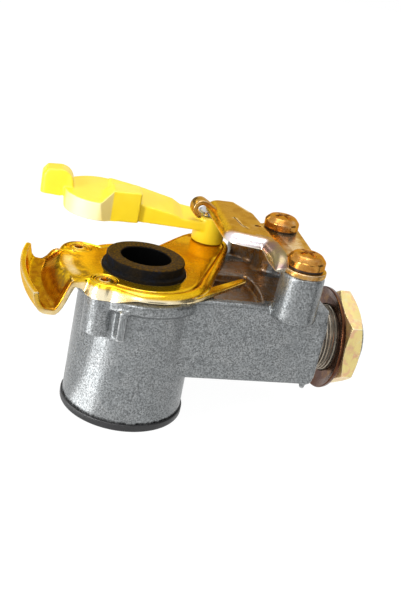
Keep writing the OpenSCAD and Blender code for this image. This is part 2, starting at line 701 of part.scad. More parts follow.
// Block at the front of the lever, and the slanted web from its end to the cap's skirt
module front_rib() {
    translate([0, 0, cover_low_h]) linear_extrude(rib_top_h - cover_low_h) polygon([
        [rib_near, -2], [rib_near, rib_front], [rib_far, rib_front + rib_skew], [rib_far, -2]]);
    hull() {
        translate([rib_far - 1, -2, cover_low_h])
            cube([1, rib_front + rib_skew + 2, rib_top_h - cover_low_h]);
        translate([cap_near, 0, 0]) rotate([90, 0, 90]) linear_extrude(0.6) polygon([
            [-2, cover_low_h], [cap_r - skirt_slope - 3.7, cover_low_h], [cap_r - 2.6, web_top_h],
            [-2, web_top_h]]);
    }
}

// Cap whose skirt draws in towards its rim, with a top that falls to the front
module cap_shell(inset, top_h) translate([cap_near, -cap_back, 0]) intersection() {
    translate([0, 0, cover_low_h]) cylinder(r1 = cap_r - inset - skirt_slope, r2 = cap_r - inset,
        h = cap_top_h + 2 - cover_low_h);
    translate([0, 0, top_h]) rotate([-top_tilt, 0, 0]) translate([-2 * cap_r, -2 * cap_r, -3 * cap_r])
        cube([4 * cap_r, 4 * cap_r, 3 * cap_r]);
}

grip_near = cap_near + cap_r;
grip_len = 9.5;
grip_low_h = cap_top_h - 4.4;
grip_back = -9;
grip_front = 2;
grip_round = 6;

// Grip that stands up at the far end of the cap, with a round shoulder towards the lever
module grip() hull() {
    for (y = [grip_back + 2, grip_front - 2]) {
        translate([grip_near + grip_len - 2, y, grip_low_h])
            cylinder(r = 2, h = grip_top_h - grip_low_h - 3, $fn = 32);
        translate([grip_near + grip_len - 3.6, y, grip_low_h])
            cylinder(r = 1.6, h = grip_top_h - grip_low_h - 0.5, $fn = 32);
        translate([grip_near + 0.4, y, grip_low_h]) cylinder(r = 0.7, h = grip_round, $fn = 32);
    }
    translate([grip_near + 1.4, grip_front - 0.6, grip_top_h - grip_round]) rotate([90, 0, 0])
        cylinder(r = grip_round, h = grip_front - grip_back - 1.2, $fn = 48);
}

module dust_cover() color(cover_yellow) seated() translate([pivot_x, pivot_y, 0]) rotate(cover_dir)
    difference() {
        union() {
            post([0, 0], barrel_r, deck_h + gap, barrel_top_h);
            lever();
            cap_shell(0, cap_top_h);
            front_rib();
            grip();
        }
        translate([0, 0, -eps]) cap_shell(cap_wall, cap_top_h - 4);
        post([0, 0], pin_r + slip, 0, barrel_top_h + 1);
    }

// Filter

cage_top_h = chamber_roof_h - gap;
cage_low_h = cap_spigot_h + filter_travel + 1;
cage_r = mesh_r - mesh_t - slip;
cage_wall = 1.8;

// Moulded frame: seat flange, ribs and foot ring
module filter_cage() color([0.85, 0.85, 0.80]) seated() difference() {
    union() {
        post([0, 0], cage_flange_r, cage_top_h - cage_ring_t, cage_top_h);
        post([0, 0], cage_r, cage_low_h, cage_top_h);
        post([0, 0], mesh_r + 0.8, cage_low_h, cage_low_h + cage_ring_t);
    }
    post([0, 0], cage_r - cage_wall, cage_low_h + cage_ring_t, cage_top_h + 1);
    for (i = [0 : cage_windows - 1]) rotate(360 * i / cage_windows)
        translate([0, -cage_r * sin(180 / cage_windows) + 1.2, cage_low_h + cage_ring_t + 2])
            cube([cage_r + 1, 2 * cage_r * sin(180 / cage_windows) - 2.4,
                cage_top_h - cage_low_h - 2 * cage_ring_t - 4]);
}

module filter_mesh() color([0.70, 0.66, 0.52]) seated() difference() {
    post([0, 0], mesh_r, cage_low_h + cage_ring_t + slip, cage_top_h - cage_ring_t - slip);
    post([0, 0], mesh_r - mesh_t, cage_low_h, cage_top_h);
}

cap_floor_h = cap_flange_t + 2;
spring_r = chamber_bore_r - cap_spigot_wall - spring_wire_r - 1.5;
spring_low = cap_floor_h + spring_wire_r + 0.02;
spring_high = cage_low_h - spring_wire_r - 0.02;
spring_sides = 8;
spring_per_turn = 20;

// Height of the spring's wire after t turns: flat end turns, then a steady pitch
function spring_rise(t) =
    let (free = spring_turns - 2, pitch = 2 * spring_wire_r + 0.1)
    t < 1 ? spring_low + pitch * t
    : t > spring_turns - 1 ? spring_high - pitch * (spring_turns - t)
    : spring_low + pitch + (spring_high - spring_low - 2 * pitch) * (t - 1) / free;

module filter_spring() color([0.6, 0.6, 0.6]) seated() {
    rings = spring_turns * spring_per_turn;
    points = [for (i = [0 : rings]) for (j = [0 : spring_sides - 1])
        let (t = i / spring_per_turn, a = 360 * t, b = 360 * j / spring_sides,
             r = spring_r + spring_wire_r * cos(b))
        [r * cos(a), r * sin(a), spring_rise(t) + spring_wire_r * sin(b)]];
    sides = [for (i = [0 : rings - 1]) for (j = [0 : spring_sides - 1])
        let (k = (j + 1) % spring_sides, p = i * spring_sides, q = p + spring_sides)
        each [[p + j, p + k, q + k], [p + j, q + k, q + j]]];
    ends = [[for (j = [spring_sides - 1 : -1 : 0]) j],
        [for (j = [0 : spring_sides - 1]) rings * spring_sides + j]];
    polyhedron(points = points, faces = concat(sides, ends));
}

// Bottom cap

o_ring_h = cap_spigot_h - 3.5;
spigot_r = chamber_bore_r - slip;

module bottom_cap() color([0.05, 0.05, 0.05]) seated() difference() {
    rotate_extrude() polygon([
        [0, 0], [chamber_r + cap_out - 0.8, 0], [chamber_r + cap_out, 0.8],
        [chamber_r + cap_out, cap_flange_t], [spigot_r, cap_flange_t], [spigot_r, o_ring_h - o_ring_r],
        [spigot_r - 2 * o_ring_r, o_ring_h - o_ring_r], [spigot_r - 2 * o_ring_r, o_ring_h + o_ring_r],
        [spigot_r, o_ring_h + o_ring_r], [spigot_r, cap_spigot_h],
        [spigot_r - cap_spigot_wall, cap_spigot_h],
        [spigot_r - cap_spigot_wall, cap_floor_h], [0, cap_floor_h]]);
    translate([0, 0, -1]) cylinder(d = cap_key_af / cos(30), h = cap_flange_t, $fn = 6);
}

module cap_o_ring() color(rubber_black) seated() translate([0, 0, o_ring_h]) rotate_extrude()
    translate([spigot_r - o_ring_r + 0.04, 0]) circle(r = o_ring_r - 0.02, $fn = 24);

// Stub fastening

module stub_washer() color(gold) seated() about_stub() rotate_extrude() polygon([
    [stub_r + 0.3, washer_x + stub_washer_dish], [stub_r + 4, washer_x + stub_washer_dish],
    [stub_washer_r - 0.4, washer_x], [stub_washer_r, washer_x + 0.5],
    [stub_washer_r - 0.3, washer_x + stub_washer_t], [stub_r + 4.6, nut_x], [stub_r + 0.3, nut_x]]);

nut_corner = nut_af / 2 / cos(30);

module lock_nut() color([0.90, 0.82, 0.45]) seated() about_stub() difference() {
    intersection() {
        translate([0, 0, nut_x]) rotate(nut_turn) cylinder(r = nut_corner, h = nut_t, $fn = 6);
        rotate_extrude() polygon([
            [0, nut_x], [nut_af / 2 - 0.3, nut_x], [nut_corner + 0.5, nut_x + 1.6],
            [nut_corner + 0.5, nut_x + nut_t - 1.6], [nut_af / 2 - 0.3, nut_x + nut_t], [0, nut_x + nut_t]]);
    }
    translate([0, 0, nut_x - 1]) cylinder(r = stub_r + slip, h = nut_t + 2);
}

body();
seal_ring();
guide_plate();
guide_screw_front();
guide_screw_rear();
locking_plate();
plate_screw_front();
plate_screw_rear();
lock_washer_front();
lock_washer_rear();
pivot_pin();
pivot_washer();
dust_cover();
filter_cage();
filter_mesh();
filter_spring();
bottom_cap();
cap_o_ring();
stub_washer();
lock_nut();
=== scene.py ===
"""Looks of the air brake coupling head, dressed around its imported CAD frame.

Sizes are in millimetres and heights are measured from the foot of the bottom cap, as in the part's source.
Shell.mesh() turns both into metres in the CAD frame, whose origin is the centre of the sealing face.
"""

import logging
import math
from dataclasses import dataclass, field
from enum import Enum
from functools import cache, cached_property
from typing import Callable, Optional, Sequence

import bmesh
import bpy
import numpy as np
from bpy.types import ID, Material, Mesh, Node, NodeSocket, NodeTree, Object
from mathutils import Matrix, Vector


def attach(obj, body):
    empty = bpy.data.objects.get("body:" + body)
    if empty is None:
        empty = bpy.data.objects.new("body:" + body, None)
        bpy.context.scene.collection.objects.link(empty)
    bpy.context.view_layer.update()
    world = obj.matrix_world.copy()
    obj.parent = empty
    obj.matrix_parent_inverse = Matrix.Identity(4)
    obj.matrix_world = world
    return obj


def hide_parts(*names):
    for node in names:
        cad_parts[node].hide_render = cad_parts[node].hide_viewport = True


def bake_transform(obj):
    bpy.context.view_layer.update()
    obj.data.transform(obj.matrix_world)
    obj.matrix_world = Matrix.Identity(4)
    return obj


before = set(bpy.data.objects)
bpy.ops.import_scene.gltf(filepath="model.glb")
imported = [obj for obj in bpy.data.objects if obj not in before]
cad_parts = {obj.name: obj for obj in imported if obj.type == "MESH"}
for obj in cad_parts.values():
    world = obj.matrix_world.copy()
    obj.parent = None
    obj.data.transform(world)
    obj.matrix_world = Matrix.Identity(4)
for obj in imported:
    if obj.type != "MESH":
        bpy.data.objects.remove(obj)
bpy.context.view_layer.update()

LOG = logging.getLogger("coupling_head")
MM = 0.001
MERGE_MM = 1e-4
TINY = 1e-9
FACE_H = 68.5
FOOT = np.array((0.0, 0.0, FACE_H))
DECK_H = 62.8
SHEET_T = 2.2
FIT = 0.05
PIVOT = (37.5, 42.0)
PLATE_SCREWS = ((60.5, -21.0), (65.2, 25.0))
STUB_AXIS_H = 37.8
IMAGE_W, IMAGE_H = 401, 601
LIT_SPOT = Vector((0.03, 0.0, -0.02))

Colour = tuple[float, float, float]
Plan = tuple[float, float]
Tint = Callable[[np.ndarray, np.ndarray], np.ndarray]


class Body(Enum):
    """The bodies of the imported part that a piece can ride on."""

    HEAD = "head"
    COVER = "cover"
    FILTER = "filter"


class Slot(Enum):
    """Names of the material slots."""

    CASTING = "casting"
    GOLD_PLATE = "gold_plate"
    GOLD_SCREW = "gold_screw"
    PLAIN_STEEL = "plain_steel"
    SEAL_RUBBER = "seal_rubber"
    COVER_PLASTIC = "cover_plastic"
    CAP_PLASTIC = "cap_plastic"
    NUT_ZINC = "nut_zinc"


# Small sums that several pieces share


def ease(share: float) -> float:
    """Runs smoothly from 0 to 1 as share does."""
    t = min(max(share, 0.0), 1.0)
    return t * t * (3.0 - 2.0 * t)


def ramp(value: np.ndarray, start: float, width: float) -> np.ndarray:
    """Runs smoothly from 0 to 1 over a width from start, or backwards where the width is below 0."""
    t = np.clip((value - start) / width, 0.0, 1.0)
    return t * t * (3.0 - 2.0 * t)


def window(value: np.ndarray, low: float, high: float, rise: float, fall: float) -> np.ndarray:
    """Rises smoothly from 0 to 1 after low, and falls back to 0 before high."""
    return ramp(value, low, rise) * ramp(value, high, -fall)


def mix(a: float, b: float, share: float) -> float:
    """Goes from a to b by share."""
    return a + (b - a) * share


def unit(turn: float) -> np.ndarray:
    """Plan direction at an angle in degrees."""
    return np.array([math.cos(math.radians(turn)), math.sin(math.radians(turn))])


def arc(centre: Plan, r: float, turns: Sequence[float]) -> list[Plan]:
    """Points of a circle at a row of angles in degrees."""
    return [tuple(np.array(centre) + r * unit(a)) for a in turns]


def spun(points: Sequence[Plan], turn: float, place: Plan = (0.0, 0.0)) -> list[Plan]:
    """Turns plan points by an angle in degrees and moves them to a place."""
    c, s = unit(turn)
    return [(place[0] + u * c - v * s, place[1] + u * s + v * c) for u, v in points]


def normed(rows: np.ndarray) -> np.ndarray:
    """Gives every vector along the last axis the length 1."""
    return rows / np.maximum(np.linalg.norm(rows, axis=-1, keepdims=True), TINY)


def rod(r: float, low: float, high: float) -> list[Plan]:
    """Profile of a plain rod, for turned()."""
    return [(0.0, low), (r, low), (r, high), (0.0, high)]


def hexagon(across_flats: float, turn: float) -> Callable[[float], float]:
    """Gives a hexagon's radius as a function of the angle in degrees.

    Args:
        across_flats: Width across the flats.
        turn: Angle of one corner, in degrees.

    Returns:
        A function from an angle to the hexagon's radius there.
    """

    def radius(angle: float) -> float:
        """Radius of the hexagon at an angle."""
        off = (angle - turn) % 60.0 - 30.0
        return across_flats / 2.0 / math.cos(math.radians(off))

    return radius


def rounded(profile: Sequence[tuple[float, float, float]], steps: int = 5) -> list[Plan]:
    """Rounds the corners of an open or closed profile.

    Args:
        profile: Points as (r, h, corner radius); a radius of 0 keeps the corner.
        steps: Points less one along each rounded corner.

    Returns:
        The profile's points with each rounded corner drawn out.
    """
    points = [np.array(p[:2], float) for p in profile]
    out: list[Plan] = []
    for i, here in enumerate(points):
        radius = profile[i][2]
        before, after = points[i - 1], points[(i + 1) % len(points)]
        if radius <= 0.0:
            out.append((here[0], here[1]))
            continue
        a, b = before - here, after - here
        la, lb = np.linalg.norm(a), np.linalg.norm(b)
        a, b = a / la, b / lb
        half = math.acos(float(np.clip(a @ b, -1.0, 1.0))) / 2.0
        back = min(radius / math.tan(half), 0.49 * la, 0.49 * lb)
        start, end = here + a * back, here + b * back
        for k in range(steps + 1):
            t = k / steps
            p = start * (1 - t) ** 2 + here * 2 * t * (1 - t) + end * t * t
            out.append((p[0], p[1]))
    return out


# Meshes


@dataclass
class Shell:
    """A mesh in the making: points in millimetres, heights from the foot, and faces."""

    points: list = field(default_factory=list)
    faces: list = field(default_factory=list)

    def grid(self, rows: np.ndarray, wrap_rows: bool, wrap_columns: bool) -> "Shell":
        """Adds a sheet of quads over rows of points.

        Args:
            rows: Points as an array of (row, column, 3).
            wrap_rows: True to join the last row to the first.
            wrap_columns: True to join the last column to the first.

        Returns:
            This shell.
        """
        base, (n, m) = len(self.points), rows.shape[:2]
        self.points.extend(map(tuple, rows.reshape(-1, 3)))
        for i in range(n if wrap_rows else n - 1):
            for j in range(m if wrap_columns else m - 1):
                a, b = base + i * m, base + (i + 1) % n * m
                k = (j + 1) % m
                self.faces.append((a + j, a + k, b + k, b + j))
        return self

    def cap(self, loop: Sequence[int]) -> "Shell":
        """Closes a loop of point numbers with one face."""
        self.faces.append(tuple(loop))
        return self

    def prism(self, outline: Sequence[Plan], low: float, high: float) -> "Shell":
        """Adds an upright prism.

        Args:
            outline: Plan outline, as (x, y).
            low: Height of its foot.
            high: Height of its top.

        Returns:
            This shell.
        """
        base, n = len(self.points), len(outline)
        ring = np.array([[(x, y, h) for x, y in outline] for h in (low, high)])
        self.grid(ring, False, True)
        return self.cap(range(base, base + n)).cap(range(base + n, base + 2 * n))

    def add(self, other: "Shell") -> "Shell":
        """Adds another shell's points and faces to this one."""
        base = len(self.points)
        self.points.extend(other.points)
        self.faces.extend(tuple(i + base for i in face) for face in other.faces)
        return self

    def mesh(self, name: str) -> Mesh:
        """Makes the Blender mesh, in metres in the CAD frame, with its faces outwards."""
        made = bpy.data.meshes.new(name)
        made.from_pydata([tuple(p) for p in (np.array(self.points, float) - FOOT) * MM], [], self.faces)
        return outwards(made)


def outwards(made: Mesh) -> Mesh:
    """Merges a mesh's double points, drops empty faces and turns its faces outwards."""
    work = bmesh.new()
    work.from_mesh(made)
    bmesh.ops.remove_doubles(work, verts=work.verts, dist=MERGE_MM * MM)
    bmesh.ops.dissolve_degenerate(work, edges=work.edges, dist=MERGE_MM * MM)
    bmesh.ops.recalc_face_normals(work, faces=work.faces)
    work.to_mesh(made)
    work.free()
    return made


def stand_in(made: ID, name: str) -> Object:
    """Links a mesh, a camera or a lamp into the scene as an object."""
    obj = bpy.data.objects.new(name, made)
    bpy.context.scene.collection.objects.link(obj)
    return obj


def carried_out(obj: Object) -> Mesh:
    """Gives the plain mesh of an object with its modifiers carried out, and removes the object."""
    bpy.context.view_layer.update()
    graph = bpy.context.evaluated_depsgraph_get()
    made = bpy.data.meshes.new_from_object(obj.evaluated_get(graph))
    bpy.data.objects.remove(obj)
    return made


def cut(made: Mesh, tool: Mesh) -> Mesh:
    """Takes the volume of one closed mesh out of another.

    Args:
        made: Mesh that is cut.
        tool: Mesh whose volume is taken away.

    Returns:
        The cut mesh.
    """
    obj, cutter = stand_in(made, "cut_work"), stand_in(tool, "cut_tool")
    step = obj.modifiers.new("cut", "BOOLEAN")
    step.operation, step.solver, step.object = "DIFFERENCE", "EXACT", cutter
    result = carried_out(obj)
    bpy.data.objects.remove(cutter)
    return result


def bevelled(made: Mesh, width: float, segments: int = 3, angle: float = 35.0) -> Mesh:
    """Rounds a mesh's sharp edges.

    Args:
        made: Mesh to round.
        width: Width of the rounding.
        segments: Faces across the rounding.
        angle: Smallest angle of an edge that is rounded, in degrees.

    Returns:
        The rounded mesh.
    """
    obj = stand_in(made, "bevel_work")
    step = obj.modifiers.new("round", "BEVEL")
    step.width, step.segments = width * MM, segments
    step.limit_method, step.angle_limit = "ANGLE", math.radians(angle)
    return carried_out(obj)


def softened(made: Mesh, voxel: float, rounds: int) -> Mesh:
    """Gives a closed mesh an even skin with eased edges, as a casting or moulding has.

    Args:
        made: Closed mesh.
        voxel: Size of the new skin's faces.
        rounds: How often the skin is eased.

    Returns:
        The eased mesh.
    """
    obj = stand_in(made, "skin_work")
    skin = obj.modifiers.new("skin", "REMESH")
    skin.mode, skin.voxel_size, skin.use_smooth_shade = "VOXEL", voxel * MM, True
    ease_step = obj.modifiers.new("ease", "SMOOTH")
    ease_step.factor, ease_step.iterations = 0.5, rounds
    return carried_out(obj)


def node_copy(node: str) -> Mesh:
    """Copies a CAD node's mesh and merges its loose triangles."""
    return outwards(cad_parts[node].data.copy())


def per_point(made: Mesh, name: str) -> np.ndarray:
    """Reads the points' places in metres, by the name co, or their normals, by the name normal."""
    values = np.empty(len(made.vertices) * 3, np.float32)
    made.vertices.foreach_get(name, values)
    return values.reshape(-1, 3).astype(float)


def co_mm(made: Mesh) -> np.ndarray:
    """Points of a mesh in millimetres, heights from the foot."""
    return per_point(made, "co") / MM + FOOT


def put_mm(made: Mesh, co: np.ndarray) -> None:
    """Moves a mesh's points to places in millimetres, heights from the foot."""
    made.vertices.foreach_set("co", ((co - FOOT) * MM).astype(np.float32).ravel())
    made.update()


def note_curve(made: Mesh, zones: dict[str, Optional[Tint]]) -> None:
    """Stores how each point bends, above 0 on an edge and below 0 in a hollow, and where the zones lie.

    Args:
        made: Mesh that gets the attribute curve and one for each zone.
        zones: For each zone's name, a function from points and normals to shares from 0 to 1.
    """
    co, way = co_mm(made), per_point(made, "normal")
    ends = np.empty(len(made.edges) * 2, np.int32)
    made.edges.foreach_get("vertices", ends)
    a, b = ends.reshape(-1, 2).T
    step = normed(co[b] - co[a])
    bend, count = np.zeros(len(co)), np.zeros(len(co))
    for end, sign in ((a, -1.0), (b, 1.0)):
        np.add.at(bend, end, sign * (way[end] * step).sum(1))
        np.add.at(count, end, 1)
    values = {"curve": bend / np.maximum(count, 1)}
    for name, zone in zones.items():
        values[name] = np.zeros(len(co)) if zone is None else np.clip(zone(co, way), 0.0, 1.0)
    for name, shares in values.items():
        made.attributes.new(name, "FLOAT", "POINT").data.foreach_set("value", shares.astype(np.float32))


# Finishes


class Wiring:
    """Short words for adding and joining the nodes of one tree."""

    def __init__(self, tree: NodeTree) -> None:
        """Takes the tree to work on."""
        self.tree = tree

    @classmethod
    def emptied(cls, owner: ID) -> "Wiring":
        """Empties the nodes of a material or a world and gives the wiring of its tree."""
        owner.use_nodes = True
        owner.node_tree.nodes.clear()
        return cls(owner.node_tree)

    def node(self, kind: str, **settings) -> Node:
        """Adds a node.

        Args:
            kind: Blender's name for the node type.
            settings: Properties of the node, or values of its inputs by name.

        Returns:
            The new node.
        """
        made = self.tree.nodes.new(kind)
        for key, value in settings.items():
            if hasattr(made, key):
                setattr(made, key, value)
            else:
                made.inputs[key.replace("_", " ")].default_value = value
        return made

    def join(self, source: NodeSocket, target: NodeSocket) -> None:
        """Joins two sockets."""
        self.tree.links.new(source, target)

    def noise(self, vector: NodeSocket, scale: object, **settings) -> NodeSocket:
        """Adds a noise whose scale is a socket, or a number per metre."""
        made = self.node("ShaderNodeTexNoise", **settings)
        self.join(vector, made.inputs["Vector"])
        self.put(made.inputs["Scale"], scale)
        return made.outputs[0]

    def put(self, socket: NodeSocket, value: object) -> None:
        """Joins a socket to another one, or gives it a plain number or colour."""
        if isinstance(value, NodeSocket):
            self.join(value, socket)
        else:
            socket.default_value = (*value, 1.0) if isinstance(value, tuple) else value

    def zone(self, name: str) -> NodeSocket:
        """Reads one of the attributes that note_curve stores."""
        return self.node("ShaderNodeAttribute", attribute_name=name).outputs["Fac"]

    def seen(self) -> NodeSocket:
        """Gives 1 to rays from the eye, straight or by way of a mirror or a clear surface, and 0 to others."""
        path = self.node("ShaderNodeLightPath")
        straight = self.sum("MAXIMUM", path.outputs["Is Camera Ray"], path.outputs["Is Glossy Ray"])
        return self.sum("MAXIMUM", straight, path.outputs["Is Transmission Ray"])

    def spread(self, value: NodeSocket, low: float, high: float, to_low: float = 0.0,
               to_high: float = 1.0) -> NodeSocket:
        """Spreads a value's range from low to high over a new range, with soft ends."""
        made = self.node("ShaderNodeMapRange", interpolation_type="SMOOTHSTEP")
        for name, number in (("From Min", low), ("From Max", high), ("To Min", to_low), ("To Max", to_high)):
            made.inputs[name].default_value = number
        self.join(value, made.inputs["Value"])
        return made.outputs["Result"]

    def blend(self, share: NodeSocket, a: object, b: object) -> NodeSocket:
        """Blends two colours, each a socket or a plain colour, by share."""
        made = self.node("ShaderNodeMix", data_type="RGBA", clamp_factor=True)
        for place, value in ((0, share), (6, a), (7, b)):
            self.put(made.inputs[place], value)
        return made.outputs[2]

    def times(self, a: object, b: object) -> NodeSocket:
        """Multiplies two sockets or numbers."""
        return self.sum("MULTIPLY", a, b)

    def group(self, tree: NodeTree, **given) -> Node:
        """Adds a group's node and gives it its inputs by name."""
        made = self.node("ShaderNodeGroup", node_tree=tree)
        for name, value in given.items():
            self.put(made.inputs[name], value)
        return made

    def show(self, shader: Node, kind: str = "Material") -> None:
        """Joins a shader to the output of a material or a world."""
        self.join(shader.outputs[0], self.node("ShaderNodeOutput" + kind).inputs["Surface"])

    def sum(self, kind: str, a: object, b: object) -> NodeSocket:
        """Adds a math node over two sockets or numbers."""
        made = self.node("ShaderNodeMath", operation=kind, use_clamp=False)
        for socket, value in zip(made.inputs, (a, b)):
            self.put(socket, value)
        return made.outputs[0]


def node_group(name: str, ins: dict[str, str], outs: dict[str, str], kind: str = "ShaderNodeTree") -> tuple:
    """Starts a node group.

    Args:
        name: Name of the group.
        ins: For each input's name its kind, such as Float, Vector or Color.
        outs: Outputs in the same form.
        kind: Blender's name for the type of tree.

    Returns:
        The group, its wiring, its input node and its output node.
    """
    tree = bpy.data.node_groups.new(name, kind)
    for way, sockets in (("INPUT", ins), ("OUTPUT", outs)):
        for label, sort in sockets.items():
            tree.interface.new_socket(label, in_out=way, socket_type="NodeSocket" + sort)
    wire = Wiring(tree)
    return tree, wire, wire.node("NodeGroupInput"), wire.node("NodeGroupOutput")


@cache
def grain_group() -> NodeTree:
    """Makes the group for surface grain: a fine speck, a broad patch and a height for bump."""
    tree, wire, given, out = node_group("surface_grain", {"Vector": "Vector", "Speck": "Float", "Patch": "Float"},
                                        {"Fine": "Float", "Broad": "Float", "Height": "Float"})
    fine = wire.noise(given.outputs["Vector"], given.outputs["Speck"], Detail=3.0, Roughness=0.62)
    broad = wire.noise(given.outputs["Vector"], given.outputs["Patch"], Detail=4.0, Roughness=0.55)
    height = wire.sum("ADD", wire.times(fine, 0.75), wire.times(broad, 0.6))
    wire.join(wire.spread(fine, 0.32, 0.68), out.inputs["Fine"])
    wire.join(wire.spread(broad, 0.30, 0.70), out.inputs["Broad"])
    wire.join(height, out.inputs["Height"])
    return tree


@cache
def film_group() -> NodeTree:
    """Makes the group for a film's colours: warm and cool patches over the ground colour."""
    tree, wire, given, out = node_group(
        "film_colours", {"Vector": "Vector", "Scale": "Float", "Ground": "Color", "Warm": "Color", "Cool": "Color",
                         "Share": "Float"}, {"Color": "Color"})
    where, scale, share = (given.outputs[name] for name in ("Vector", "Scale", "Share"))
    warm = wire.noise(where, scale, Detail=3.0, Roughness=0.6, Distortion=0.6)
    cool = wire.noise(where, scale, noise_dimensions="4D", Detail=4.0, Roughness=0.65, W=3.7)
    first = wire.times(wire.spread(warm, 0.42, 0.66), share)
    second = wire.times(wire.spread(cool, 0.52, 0.72), share)
    colour = wire.blend(first, given.outputs["Ground"], given.outputs["Warm"])
    wire.join(wire.blend(second, colour, given.outputs["Cool"]), out.inputs["Color"])
    return tree


@cache
def wear_and_painted_light_group() -> NodeTree:
    """Makes the group for pale edges, partly wear and partly a painted highlight, and for dark hollows, which are
    painted shade, broken up by a noise.
    """
    tree, wire, given, out = node_group("edge_wear_and_painted_light", {"Vector": "Vector", "Curve": "Float", "Scale": "Float"},
                                        {"Edge": "Float", "Hollow": "Float"})
    noise = wire.noise(given.outputs["Vector"], given.outputs["Scale"], Detail=4.0, Roughness=0.6)
    loose = wire.times(wire.sum("SUBTRACT", noise, 0.5), 0.22)
    edge = wire.sum("ADD", given.outputs["Curve"], loose)
    hollow = wire.sum("SUBTRACT", loose, given.outputs["Curve"])
    wire.join(wire.spread(edge, 0.07, 0.26), out.inputs["Edge"])
    wire.join(wire.spread(hollow, 0.05, 0.24), out.inputs["Hollow"])
    return tree


@dataclass(frozen=True)
class Coat:
    """A colour that lies over the film, its greatest share, and how much of that a mottle takes away."""

    colour: Colour
    share: float = 0.5
    mottle: float = 0.0


def per_metre(size_mm: float) -> float:
    """Scale of a noise whose patches have a size."""
    return 1.0 / (size_mm * MM)


@dataclass(frozen=True)
class Finish:
    """A surface finish: a film of colours with grain, pale edges that are partly wear and partly a painted highlight,
    dark hollows of painted shade, a zone of painted light and shade, a tint and a veil.
    """

    name: str
    ground: Colour
    warm: Colour
    cool: Colour
    film: float = 0.5
    patch_mm: float = 12.0
    speck_mm: float = 0.6
    speck_dark: float = 0.1
    metallic: float = 0.0
    rough: tuple[float, float] = (0.35, 0.5)
    bump: float = 0.2
    bump_mm: float = 0.05
    # edge: pale convex edges, partly wear and partly a painted highlight. hollow: painted shade in concave hollows.
    edge: Optional[Coat] = None
    hollow: Optional[Coat] = None
    # Painted light and shade, laid over the film in a zone.
    light_and_shade: Optional[Coat] = None
    tint: Optional[Coat] = None
    blotch_mm: float = 2.4
    veil: Optional[Coat] = None
    veil_other: Optional[Colour] = None
    specular: float = 0.5
    glance: Colour = (1.0, 1.0, 1.0)
    wear_and_painted_light_mm: float = 2.2

    @cache
    def material(self) -> Material:
        """Makes the material, once."""
        made = bpy.data.materials.new(self.name)
        wire = Wiring.emptied(made)
        shader = wire.node("ShaderNodeBsdfPrincipled")
        wire.show(shader)
        where = wire.node("ShaderNodeTexCoord").outputs["Object"]
        grain = wire.group(grain_group(), Vector=where, Speck=per_metre(self.speck_mm),
                           Patch=per_metre(self.patch_mm))
        wire.join(self.colour(wire, where, grain), shader.inputs["Base Color"])
        self.gloss(wire, grain, shader)
        made.diffuse_color = (*self.ground, 1.0)
        return made

    def colour(self, wire: Wiring, where: NodeSocket, grain: Node) -> NodeSocket:
        """Builds the colour: film, specks, zones of painted light and shade, tint and veil, painted shade in hollows,
        edges partly worn and partly a painted highlight.

        Args:
            wire: Wiring of the material.
            where: Object coordinates.
            grain: The grain group's node.

        Returns:
            The colour's socket.
        """
        film = wire.group(film_group(), Vector=where, Scale=per_metre(self.patch_mm), Share=self.film,
                          Ground=self.ground, Warm=self.warm, Cool=self.cool)
        dark = tuple(c * (1.0 - self.speck_dark * 2.0) for c in self.ground)
        speck = wire.times(grain.outputs["Fine"], self.speck_dark * 2.0)
        colour = wire.blend(speck, film.outputs["Color"], dark)
        blotch = wire.noise(where, per_metre(self.blotch_mm), Detail=4.0, Roughness=0.62)
        # The first zone here is painted light and shade.
        for name, coat in (("light_and_shade", self.light_and_shade), ("tint", self.tint)):
            if coat:
                mottle = wire.spread(blotch, 0.40, 0.60, coat.share * (1.0 - coat.mottle), coat.share)
                colour = wire.blend(wire.times(wire.zone(name), mottle), colour, coat.colour)
        if self.veil:
            shift = wire.blend(grain.outputs["Broad"], self.veil.colour, self.veil_other or self.veil.colour)
            colour = wire.blend(wire.times(wire.zone("veil"), self.veil.share), colour, shift)
        # Painted shade in hollows, and edges that are partly worn and partly a painted highlight.
        if self.edge or self.hollow:
            wear_and_painted_light = wire.group(wear_and_painted_light_group(), Vector=where, Curve=wire.zone("curve"), Scale=per_metre(self.wear_and_painted_light_mm))
            for label, coat in (("Hollow", self.hollow), ("Edge", self.edge)):
                if coat:
                    colour = wire.blend(wire.times(wear_and_painted_light.outputs[label], coat.share), colour, coat.colour)
        return colour

    def gloss(self, wire: Wiring, grain: Node, shader: Node) -> None:
        """Sets how rough, metallic and bumpy the surface is.

        Args:
            wire: Wiring of the material.
            grain: The grain group's node.
            shader: The material's main shader.
        """
        both = wire.sum("ADD", wire.times(grain.outputs["Broad"], 0.6),
                        wire.times(grain.outputs["Fine"], 0.4))
        wire.join(wire.spread(both, 0.0, 1.0, *self.rough), shader.inputs["Roughness"])
        bump = wire.node("ShaderNodeBump", Strength=self.bump, Distance=self.bump_mm * MM)
        wire.join(grain.outputs["Height"], bump.inputs["Height"])
        wire.join(bump.outputs[0], shader.inputs["Normal"])
        shader.inputs["Metallic"].default_value = self.metallic
        shader.inputs["Specular IOR Level"].default_value = self.specular
        shader.inputs["Specular Tint"].default_value = (*self.glance, 1.0)
